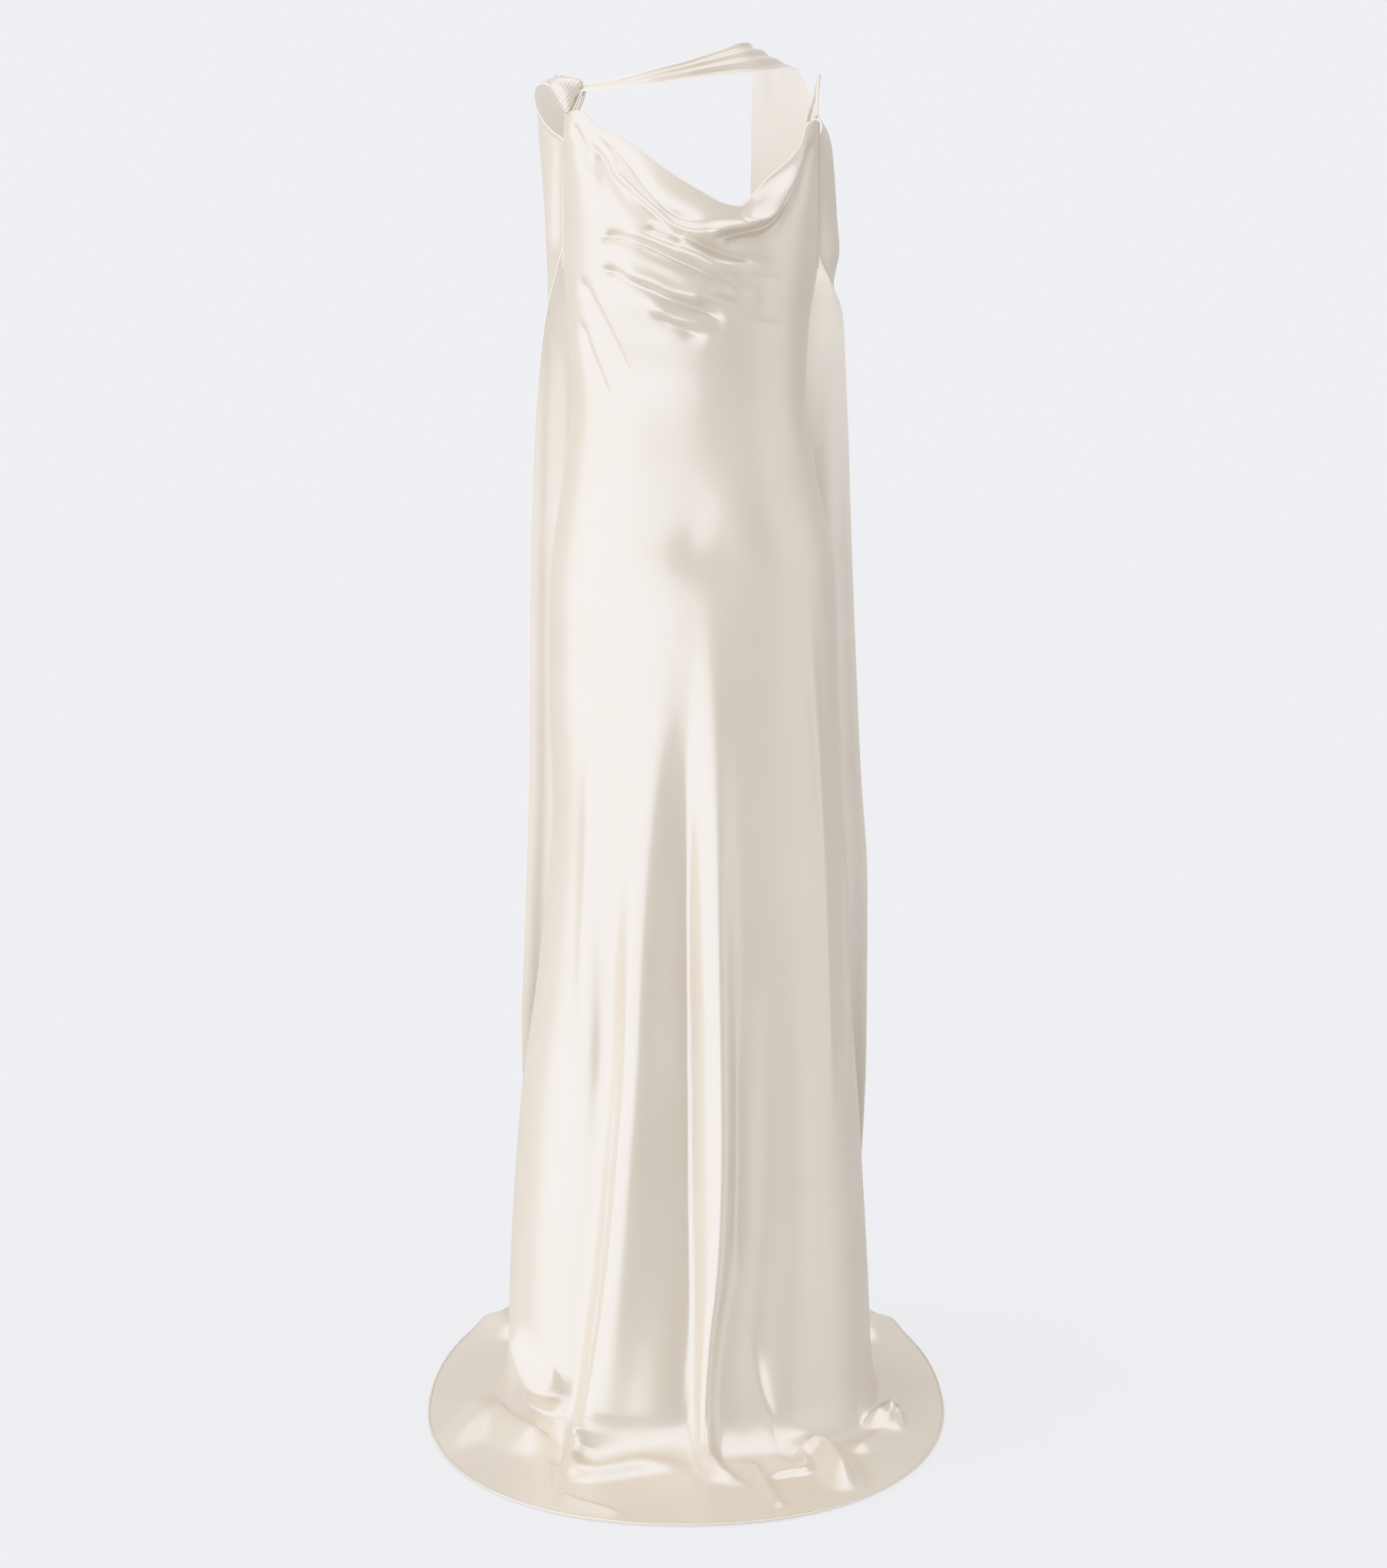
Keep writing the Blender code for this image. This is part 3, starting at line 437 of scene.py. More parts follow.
def clothShell(name, grid, outward, hidden):
    # a closed thin wall: the satin face outside, and the dull reverse inside on every other row and
    # column, so both counts of the grid are odd
    rows, columns = grid.shape[:2]
    normals = gridNormals(grid, outward)
    count = rows * columns
    index = np.arange(count).reshape(rows, columns)
    sag = ((betweenEvenRows(grid) - grid) * normals).sum(-1).clip(0)
    sag = np.pad(sag, 1)
    deepest = np.max([sag[1 + down:rows + 1 + down, 1 + over:columns + 1 + over]
                      for down in (-1, 0, 1) for over in (-1, 0, 1)], axis=0)
    depth = dress["clothThickness"] + dress["reverseRoom"] * deepest[::2, ::2, None]
    within = grid[::2, ::2] - normals[::2, ::2] * depth
    inner = count + np.arange(within.shape[0] * within.shape[1]).reshape(within.shape[:2])
    rim, innerRim = rimOf(index), rimOf(inner)
    start, middle, end = rim[::2], rim[1::2], np.roll(rim[::2], -1)
    innerEnd = np.roll(innerRim, -1)
    edge = [np.stack([start, middle, innerRim], -1), np.stack([middle, innerEnd, innerRim], -1),
            np.stack([middle, end, innerEnd], -1)]
    outer, reverse = gridFaces(index), gridFaces(inner)[:, ::-1]
    down, over = np.diff(grid, axis=0)[:, :-1], np.diff(grid, axis=1)[:-1]
    turned = (np.cross(down, over) * normals[:-1, :-1]).sum() < 0
    faces = [face[:, ::-1] if turned else face for face in (outer, reverse, *edge)]
    finishOf = np.concatenate([np.full(len(face), kind == 1) for kind, face in enumerate(faces)])
    acrossCloth = np.cumsum(np.linalg.norm(np.diff(grid, axis=1, prepend=grid[:, :1]), axis=-1), axis=1)
    acrossCloth -= acrossCloth.mean(axis=1, keepdims=True)
    alongCloth = np.cumsum(np.linalg.norm(np.diff(grid, axis=0, prepend=grid[:1]), axis=-1), axis=0)
    clothMap = np.stack([acrossCloth, alongCloth], -1)
    vertices = np.concatenate([grid.reshape(-1, 3), within.reshape(-1, 3)])
    maps = np.concatenate([clothMap.reshape(-1, 2), clothMap[::2, ::2].reshape(-1, 2)])
    piece = addPiece(name, vertices, [corners for face in faces for corners in face.tolist()],
                     [satinFace, satinReverse], finishOf, maps, hidden)
    mesh = piece.data
    ends = np.empty(len(mesh.edges) * 2, np.int32)
    mesh.edges.foreach_get("vertices", ends)
    ends = ends.reshape(-1, 2)
    onRim = np.isin(ends, rim).all(axis=1) | np.isin(ends, innerRim).all(axis=1)
    mesh.attributes.new("sharp_edge", "BOOLEAN", "EDGE").data.foreach_set("value", onRim)
    return piece


def pathSides(path, hint):
    # the directions across a path and up from it
    tangent = np.gradient(path, axis=0)
    tangent /= np.linalg.norm(tangent, axis=1, keepdims=True)
    side = np.cross(tangent, hint)
    side /= np.linalg.norm(side, axis=1, keepdims=True) + 1e-12
    return side, np.cross(side, tangent)


def ringFaces(rows, columns):
    # walls between closed rings, and fans to the start and end points, which come after the rings
    index = np.arange(rows * columns).reshape(rows, columns)
    after = np.roll(index, -1, axis=1)
    walls = np.stack([index[:-1], after[:-1], after[1:], index[1:]], -1).reshape(-1, 4).tolist()
    start, end = index.size, index.size + 1
    startFan = [(start, *corners) for corners in zip(after[0].tolist(), index[0].tolist())]
    return walls + startFan + [(end, *corners) for corners in zip(index[-1].tolist(), after[-1].tolist())]


def tube(name, path, hint, width, depth, finish, sides=8, hidden=()):
    # a rolled edge or a strap: an oval run along a path, closed at both ends
    side, up = pathSides(path, hint)
    turn = np.arange(sides) * 2 * np.pi / sides
    ring = side[:, None] * np.cos(turn)[:, None] * width + up[:, None] * np.sin(turn)[:, None] * depth
    vertices = np.concatenate([(path[:, None] + ring).reshape(-1, 3), path[:1], path[-1:]])
    run = np.repeat(arcLengths(path), sides)
    around = np.tile(turn / (2 * np.pi) * satin["rollGirth"], len(path))
    clothMap = np.concatenate([np.stack([around, run], -1), [[0, 0], [0, run[-1]]]])
    return addPiece(name, vertices, ringFaces(len(path), sides), [finish], None, clothMap, hidden)


def edgeRoll(name, path, away, roll, finish):
    # a rolled edge: half width, half depth, and how far its middle stands out from the cloth's face
    width, depth, lift = roll
    return tube(name, path + away * lift, away, width, depth, finish)


stitching = {"length": 0.0022, "gap": 0.0012, "radius": 0.00022, "lift": 0.00012, "lookAhead": 0.001}


def stitchRow(name, path, normals):
    # a row of stitches: pointed grains of thread laid along a path
    along = arcLengths(path)
    step = stitching["length"] + stitching["gap"]
    at = np.arange(step, along[-1] - step, step)
    middle, normal = pointsAlong(at, along, path), pointsAlong(at, along, normals)
    ahead = pointsAlong(at + stitching["lookAhead"], along, path) - middle
    ahead /= np.linalg.norm(ahead, axis=1, keepdims=True)
    side = np.cross(ahead, normal)
    middle = middle + normal * stitching["lift"]
    half, radius = stitching["length"] / 2, stitching["radius"]
    corners = np.stack([middle - ahead * half, middle + side * radius, middle + normal * radius,
                        middle - side * radius, middle - normal * radius, middle + ahead * half], 1)
    sides = [(0, 2, 1), (0, 3, 2), (0, 4, 3), (0, 1, 4), (5, 1, 2), (5, 2, 3), (5, 3, 4), (5, 4, 1)]
    faces = (np.array(sides)[None] + 6 * np.arange(len(at))[:, None, None]).reshape(-1, 3)
    return addPiece(name, corners.reshape(-1, 3), faces.tolist(), [satinThread])


def insetPath(grid, distance, fromEnd):
    # the line that runs along one side edge of a grid, a given distance in from it
    rows = grid[:, ::-1] if fromEnd else grid
    return np.array([pointsAlong(distance, arcLengths(row), row) for row in rows])


# ---- front panel

frontPanel = {
    "columns": 221,
    "rowsAbove": 80,  # from the neckline to the underarm
    "edgeRows": 84,  # as far down as the rolled armhole edges run
    # drops between which the rows below the underarm are spread evenly, and the rows of each stretch
    "rowStretches": [(0.174, 0.340, 84), (0.340, 1.340, 72), (1.340, 1.700, 101)],
    "neckline": [
        (-0.140, 1.5200), (-0.130, 1.5210), (-0.122, 1.5200), (-0.114, 1.5135), (-0.103, 1.5040),
        (-0.079, 1.4925), (-0.051, 1.4770), (-0.030, 1.4620), (-0.010, 1.4485), (0.011, 1.4363),
        (0.028, 1.4262), (0.044, 1.4195), (0.057, 1.4178), (0.070, 1.4280), (0.082, 1.4405),
        (0.092, 1.4500), (0.105, 1.4605), (0.115, 1.4700), (0.127, 1.4875), (0.134, 1.5060),
        (0.148, 1.5120),
    ],
    "rollRadius": 0.0026,  # the neckline turns in over this radius
    "rollRows": 8,
    "facingDepth": 0.016,
    "facingRows": (1.0, 0.66, 0.33),  # shares of that depth
    # half width, half depth and lift of the rolled edges
    "hem": (0.0014, 0.0012, -0.0003),
    "armholeEdge": (0.0013, 0.0011, 0.0004),
    "folds": [
        # the cowl: a crest over the long crease
        (0.007, 0.008, (0.006, 0.014), 0.15, 0.25,
         [(-0.090, 1.466), (-0.079, 1.4526), (-0.063, 1.4353), (-0.038, 1.414), (-0.013, 1.3935),
          (0.012, 1.3878), (0.035, 1.3928), (0.0535, 1.3985)], []),
        # the cowl's turned band: set back along its top, full along its lower edge, a second rim below
        (-0.006, 0.012, 0.011, 0.20, 0.70,
         [(0.058, 1.424), (0.076, 1.437), (0.092, 1.450), (0.105, 1.460), (0.116, 1.472),
          (0.127, 1.487)], []),
        (0.009, (0.012, 0.006), 0.003, 0.15, 0.60,
         [(0.056, 1.407), (0.066, 1.4035), (0.0744, 1.401), (0.0836, 1.4035), (0.090, 1.4085),
          (0.097, 1.418), (0.104, 1.430), (0.115, 1.449), (0.1245, 1.468), (0.131, 1.486),
          (0.134, 1.500)], []),
        (0.007, 0.006, 0.004, 0.10, 0.45,
         [(0.022, 1.3835), (0.030, 1.3885), (0.046, 1.3925), (0.066, 1.395), (0.083, 1.398), (0.095, 1.406),
          (0.105, 1.418), (0.113, 1.432), (0.122, 1.449), (0.130, 1.467), (0.1365, 1.485)], []),
        # soft crests of the bust, hollow under the knot
        (0.005, 0.007, (0.008, 0.014), 0.15, 0.25,
         [(-0.075, 1.392), (-0.0645, 1.388), (-0.038, 1.3806), (-0.013, 1.3723), (0.012, 1.365),
          (0.037, 1.3527), (0.062, 1.352), (0.087, 1.3494)], []),
        (0.006, 0.009, 0.009, 0.20, 0.25,
         [(-0.080, 1.3552), (-0.063, 1.3437), (-0.038, 1.3346), (-0.013, 1.3231), (0.012, 1.3198),
          (0.037, 1.3215), (0.054, 1.3148)], []),
        (0.005, 0.009, 0.008, 0.25, 0.30,
         [(-0.050, 1.311), (-0.038, 1.309), (-0.013, 1.2958), (0.012, 1.2917), (0.037, 1.2833)], []),
        (-0.003, 0.009, 0.009, 0.30, 0.50,
         [(-0.112, 1.476), (-0.102, 1.462), (-0.096, 1.448), (-0.094, 1.428), (-0.092, 1.412)], []),
        # full front of the hips and the soft hollow under it
        (0.006, 0.040, 0.046, 0.45, 0.45, [(0.080, 1.190), (0.078, 1.110), (0.072, 1.020)], []),
        (-0.006, 0.032, 0.030, 0.40, 0.45,
         [(-0.045, 1.075), (0.000, 1.050), (0.050, 1.040), (0.105, 1.045)], []),
        # broad ridge down the right side
        (0.006, 0.016, 0.014, 0.40, 0.30,
         [(-0.098, 0.900), (-0.108, 0.760), (-0.113, 0.600), (-0.116, 0.460), (-0.122, 0.330)], []),
        # soft ridge down the left side, and one round its corner
        (0.004, 0.012, 0.010, 0.35, 0.30,
         [(0.1236, 1.053), (0.1404, 0.880), (0.1525, 0.701), (0.1607, 0.522), (0.1688, 0.341)], []),
        (0.005, 0.012, 0.014, 0.40, 0.35,
         [(0.172, 0.820), (0.180, 0.680), (0.186, 0.520), (0.190, 0.350)], []),
        # pillow at the foot of the right side and the tuck under it
        (0.013, 0.022, 0.014, 0.30, 0.25,
         [(-0.208, 0.130), (-0.196, 0.085), (-0.172, 0.058), (-0.148, 0.062), (-0.134, 0.080)], []),
        (-0.007, 0.008, 0.012, 0.30, 0.25,
         [(-0.215, 0.075), (-0.203, 0.045), (-0.180, 0.028), (-0.152, 0.028), (-0.134, 0.040)], []),
        # folds that run out over the floor
        (0.008, 0.006, 0.006, 0.25, 0.25,
         [], [(-0.147, -0.175), (-0.1485, -0.195), (-0.147, -0.225), (-0.1425, -0.262)]),
        (0.006, 0.003, 0.016, 0.15, 0.30,
         [], [(-0.1406, -0.2634), (-0.1247, -0.2829), (-0.1053, -0.2983), (-0.0824, -0.3126),
              (-0.0577, -0.3300)]),
        (0.007, 0.010, 0.003, 0.20, 0.20,
         [], [(0.0538, -0.2080), (0.0635, -0.2000), (0.0730, -0.2080), (0.0802, -0.2288), (0.0872, -0.2610),
              (0.0940, -0.2901), (0.1030, -0.3059), (0.1161, -0.3069)]),
        (0.007, 0.005, 0.005, 0.20, 0.30,
         [], [(0.1372, -0.1895), (0.1346, -0.2088), (0.1190, -0.2138), (0.0995, -0.2239),
              (0.0896, -0.2388)]),
        (0.007, 0.005, 0.005, 0.25, 0.25,
         [], [(0.1134, -0.0900), (0.1203, -0.1103), (0.1288, -0.1524), (0.1371, -0.1936),
              (0.1404, -0.2088)]),
        (0.012, 0.005, 0.006, 0.15, 0.15,
         [], [(0.2224, -0.0231), (0.2370, -0.0163), (0.2488, -0.0219), (0.2534, -0.0453), (0.2491, -0.0645),
              (0.2414, -0.0754)]),
        (0.011, 0.006, 0.006, 0.15, 0.15,
         [], [(0.2044, -0.0563), (0.2138, -0.0314), (0.2261, -0.0297), (0.2349, -0.0508),
              (0.2414, -0.0754)]),
        (0.007, 0.011, 0.013, 0.30, 0.30,
         [], [(0.1797, -0.1524), (0.2001, -0.1367), (0.2213, -0.1103), (0.2369, -0.0835)]),
        (-0.005, 0.009, 0.009, 0.30, 0.30, [], [(0.1792, -0.1628), (0.1905, -0.2088), (0.2050, -0.2585)]),
    ],
    "creases": [
        # the cowl's valley, the long crease under it and its fork, the deep one behind the turned band
        (-0.005, 0.006, 0.006, 0.20, 0.20,
         [(-0.102, 1.5026), (-0.089, 1.487), (-0.076, 1.475), (-0.065, 1.462), (-0.047, 1.4365),
          (-0.031, 1.419), (-0.017, 1.408), (0.004, 1.400), (0.022, 1.402)], []),
        (-0.010, (0.004, 0.011), (0.010, 0.008), 0.10, 0.20,
         [(-0.110, 1.4935), (-0.104, 1.479), (-0.097, 1.4685), (-0.0844, 1.4495), (-0.0626, 1.4304),
          (-0.0377, 1.4094), (-0.013, 1.3889), (0.004, 1.381), (0.020, 1.374), (0.037, 1.3666),
          (0.054, 1.3617), (0.0704, 1.3585), (0.0907, 1.3565), (0.106, 1.357)], []),
        (-0.004, 0.005, 0.006, 0.30, 0.10,
         [(-0.047, 1.3976), (-0.034, 1.391), (-0.019, 1.385), (-0.005, 1.379)], []),
        (-0.011, 0.005, 0.010, 0.12, 0.10,
         [(0.026, 1.378), (0.037, 1.3815), (0.048, 1.385), (0.065, 1.389), (0.084, 1.3935), (0.098, 1.400),
          (0.107, 1.4095), (0.117, 1.424), (0.125, 1.438), (0.132, 1.457), (0.138, 1.476),
          (0.142, 1.490)], []),
        # bust wrinkles
        (-0.0085, (0.006, 0.014), (0.006, 0.008), 0.08, 0.22,
         [(-0.098, 1.3790), (-0.0826, 1.384), (-0.060, 1.3795), (-0.036, 1.3695), (-0.008, 1.356),
          (0.023, 1.342), (0.0435, 1.333), (0.0585, 1.324), (0.0754, 1.3145), (0.087, 1.310)], []),
        (-0.0075, (0.005, 0.011), (0.006, 0.008), 0.14, 0.18,
         [(-0.099, 1.350), (-0.083, 1.345), (-0.064, 1.3366), (-0.0455, 1.3275), (-0.027, 1.320),
          (-0.008, 1.313), (0.010, 1.3046), (0.029, 1.297), (0.047, 1.293)], []),
        (-0.006, 0.006, 0.005, 0.20, 0.40,
         [(0.010, 1.3257), (0.029, 1.320), (0.047, 1.313), (0.062, 1.307), (0.081, 1.3006)], []),
        (-0.0045, (0.005, 0.008), (0.006, 0.008), 0.35, 0.35,
         [(-0.042, 1.3036), (-0.027, 1.2944), (-0.008, 1.286), (0.010, 1.279), (0.025, 1.277)], []),
        (-0.0018, 0.004, 0.004, 0.30, 0.30,
         [(0.029, 1.309), (0.047, 1.302), (0.066, 1.296), (0.095, 1.288), (0.115, 1.285)], []),
        (-0.0025, 0.005, 0.005, 0.30, 0.30,
         [(0.0565, 1.346), (0.075, 1.340), (0.096, 1.338), (0.111, 1.341)], []),
        # drag lines from the right side to the waist
        (-0.007, 0.005, 0.014, 0.15, 0.40,
         [(-0.121, 1.344), (-0.112, 1.323), (-0.097, 1.2956), (-0.084, 1.2716), (-0.0706, 1.2457),
          (-0.059, 1.225), (-0.048, 1.205)], []),
        (-0.006, 0.005, 0.012, 0.20, 0.40,
         [(-0.121, 1.297), (-0.115, 1.271), (-0.107, 1.250), (-0.098, 1.230), (-0.088, 1.211),
          (-0.0785, 1.195)], []),
        # gathers that leave the knot
        (-0.004, 0.004, 0.006, 0.20, 0.30,
         [(-0.128, 1.508), (-0.1250, 1.502), (-0.119, 1.491), (-0.114, 1.4815), (-0.113, 1.469),
          (-0.110, 1.455), (-0.109, 1.4485)], []),
        # the crease beside the right fold's hook, the crisp sides of the long skirt folds
        (-0.008, 0.004, 0.009, 0.25, 0.25,
         [], [(-0.136, -0.156), (-0.1425, -0.174), (-0.1460, -0.200), (-0.1440, -0.235),
              (-0.1400, -0.265)]),
        (-0.007, 0.003, 0.006, 0.35, 0.10,
         [(-0.073, 0.579), (-0.076, 0.466), (-0.081, 0.380), (-0.087, 0.301), (-0.092, 0.240),
          (-0.0965, 0.199), (-0.101, 0.158), (-0.106, 0.127), (-0.110, 0.099), (-0.115, 0.074),
          (-0.119, 0.042)],
         [(-0.1255, -0.162), (-0.1320, -0.176), (-0.1350, -0.196)]),
        (-0.006, 0.006, 0.008, 0.40, 0.15,
         [(0.008, 0.930), (0.002, 0.800), (0.001, 0.626), (0.002, 0.450), (0.004, 0.235), (0.008, 0.109),
          (0.009, 0.070), (0.011, 0.040)],
         [(0.016, -0.196), (0.024, -0.220), (0.038, -0.240)]),
        (-0.004, 0.008, 0.003, 0.40, 0.20,
         [(0.054, 0.560), (0.056, 0.400), (0.056, 0.300), (0.056, 0.190)], []),
        (-0.004, 0.007, 0.010, 0.50, 0.15,
         [(0.076, 0.170), (0.079, 0.130), (0.084, 0.101), (0.091, 0.070), (0.100, 0.042)],
         [(0.114, -0.168), (0.1260, -0.176), (0.1372, -0.1895)]),
    ],
}


def spread(stretches):
    # values spread evenly over each stretch, and the end of the last one
    rows = [np.linspace(low, high, count, endpoint=False) for low, high, count in stretches]
    return np.concatenate([*rows, [stretches[-1][1]]])


def seamAngle(drop):
    return np.radians(90 + tubeSize("seam", drop))


def withFacing(grid, outward):
    # rows in front of the first one that turn the neckline over and down inside
    radius, depth = frontPanel["rollRadius"], frontPanel["facingDepth"]
    normals = gridNormals(grid, outward)[0]
    up = grid[0] - grid[2]
    up -= normals * (up * normals).sum(-1, keepdims=True)
    up /= np.linalg.norm(up, axis=-1, keepdims=True)
    turned = []
    for turn in np.linspace(np.pi, 0, frontPanel["rollRows"], endpoint=False):
        turned.append(grid[0] - normals * radius + radius * (normals * math.cos(turn) + up * math.sin(turn)))
    hanging = [turned[0] - up * depth * share for share in frontPanel["facingRows"]]
    return np.concatenate([np.array(hanging + turned), grid])


def makeFront():
    across = np.linspace(-1, 1, frontPanel["columns"])
    xMin, xMax = tubeSize("xMin", dress["bustDrop"]), tubeSize("xMax", dress["bustDrop"])
    x = (xMin + xMax) / 2 + (xMax - xMin) / 2 * rounded(np.sin(across * np.pi / 2))
    top = dropAt(smooth(*zip(*frontPanel["neckline"]), x)) + frontPanel["rollRadius"]
    share = np.linspace(0, 1, frontPanel["rowsAbove"], endpoint=False)[:, None]
    above = top + (dress["underarmDrop"] - top) * share
    below = spread(frontPanel["rowStretches"])[:, None] + 0 * top
    drop = np.concatenate([above, below])
    angle = across * seamAngle(drop)
    grid = dressPoint(angle, drop, allFacing("front", frontPanel["folds"]),
                      allFacing("front", frontPanel["creases"]))
    outward = surfaceNormal(angle, drop)
    turned = withFacing(grid, outward)
    extra = len(turned) - len(grid)
    outward = np.concatenate([-outward[:extra], outward])
    return turned, outward, grid


frontTurned, frontOutward, frontGrid = makeFront()
frontNormals = gridNormals(frontGrid, frontOutward[-len(frontGrid):])
front = clothShell("frontPanel", frontTurned, frontOutward, ["front_panel"])
frontHem = edgeRoll("frontHem", frontGrid[-1], frontNormals[-1], frontPanel["hem"], satinFace)
frontStitches = stitchRow("frontHemStitches", frontGrid[-2], frontNormals[-2])
for name, column in (("frontRightEdge", 0), ("frontLeftEdge", -1)):
    edge, away = (part[:frontPanel["edgeRows"], column] for part in (frontGrid, frontNormals))
    edgeRoll(name, edge, away, frontPanel["armholeEdge"], satinFace)
print("front panel draped")


# ---- back panel

backPanel = {
    "columns": 111,
    # shares of the way from the top edge to the hem, and the rows of each stretch
    "rowStretches": [(0.0, 0.74, 116), (0.74, 1.0, 92)],
    "topDrop": 0.365,  # the middle of the low top edge
    "scoop": 0.75,
    # half width, half depth and lift of the rolled edges
    "hem": (0.0014, 0.0012, -0.0003),
    "topEdge": (0.0016, 0.0014, -0.0006),
    "folds": [
        (-0.0060, 0.010, 0.016, 0.3, 0.3,
         [(-0.105, 1.190), (-0.060, 1.128), (0.000, 1.104), (0.060, 1.128), (0.105, 1.190)], []),
        (0.0045, 0.009, 0.012, 0.3, 0.3,
         [(-0.098, 1.150), (-0.050, 1.096), (0.000, 1.080), (0.050, 1.096), (0.098, 1.150)], []),
        # shallow troughs beside the long folds
        (-0.005, 0.006, 0.010, 0.35, 0.30,
         [(-0.014, 0.860), (-0.022, 0.640), (-0.030, 0.430), (-0.036, 0.260)], []),
        (-0.005, 0.010, 0.006, 0.35, 0.30,
         [(0.036, 0.780), (0.044, 0.560), (0.050, 0.380), (0.056, 0.230)], []),
        (-0.004, 0.007, 0.009, 0.30, 0.30, [(0.108, 0.700), (0.120, 0.520), (0.130, 0.340)], []),
        # folds that run out over the train
        (0.008, 0.006, 0.010, 0.25, 0.30,
         [], [(-0.052, 0.318), (-0.066, 0.362), (-0.094, 0.405), (-0.112, 0.440)]),
        (0.009, 0.010, 0.006, 0.25, 0.30,
         [], [(0.048, 0.300), (0.068, 0.346), (0.074, 0.396), (0.056, 0.446)]),
        (0.007, 0.006, 0.009, 0.25, 0.30,
         [], [(-0.150, 0.262), (-0.176, 0.305), (-0.182, 0.352), (-0.166, 0.398)]),
        (0.008, 0.006, 0.008, 0.25, 0.30,
         [], [(0.160, 0.262), (0.190, 0.300), (0.206, 0.344), (0.204, 0.388)]),
    ],
}


def makeBack():
    across = np.linspace(-1, 1, backPanel["columns"])
    scoop = np.cos(across * np.pi / 2).clip(0) ** backPanel["scoop"]
    start, end = dress["underarmDrop"], dress["hemDrop"]
    top = start + (backPanel["topDrop"] - start) * scoop
    drop = top + (end - top) * spread(backPanel["rowStretches"])[:, None]
    angle = np.pi - across * (np.pi - seamAngle(drop))
    grid = dressPoint(angle, drop, allFacing("back", backPanel["folds"]))
    outward = surfaceNormal(angle, drop)
    return grid, outward


backGrid, backOutward = makeBack()
backNormals = gridNormals(backGrid, backOutward)
back = clothShell("backPanel", backGrid, backOutward, ["back_panel"])
backHem = edgeRoll("backHem", backGrid[-1], backNormals[-1], backPanel["hem"], satinFace)
backTop = edgeRoll("backTopEdge", backGrid[0], backNormals[0], backPanel["topEdge"], satinFace)
backStitches = stitchRow("backHemStitches", backGrid[-2], backNormals[-2])
print("back panel draped")


# ---- capes

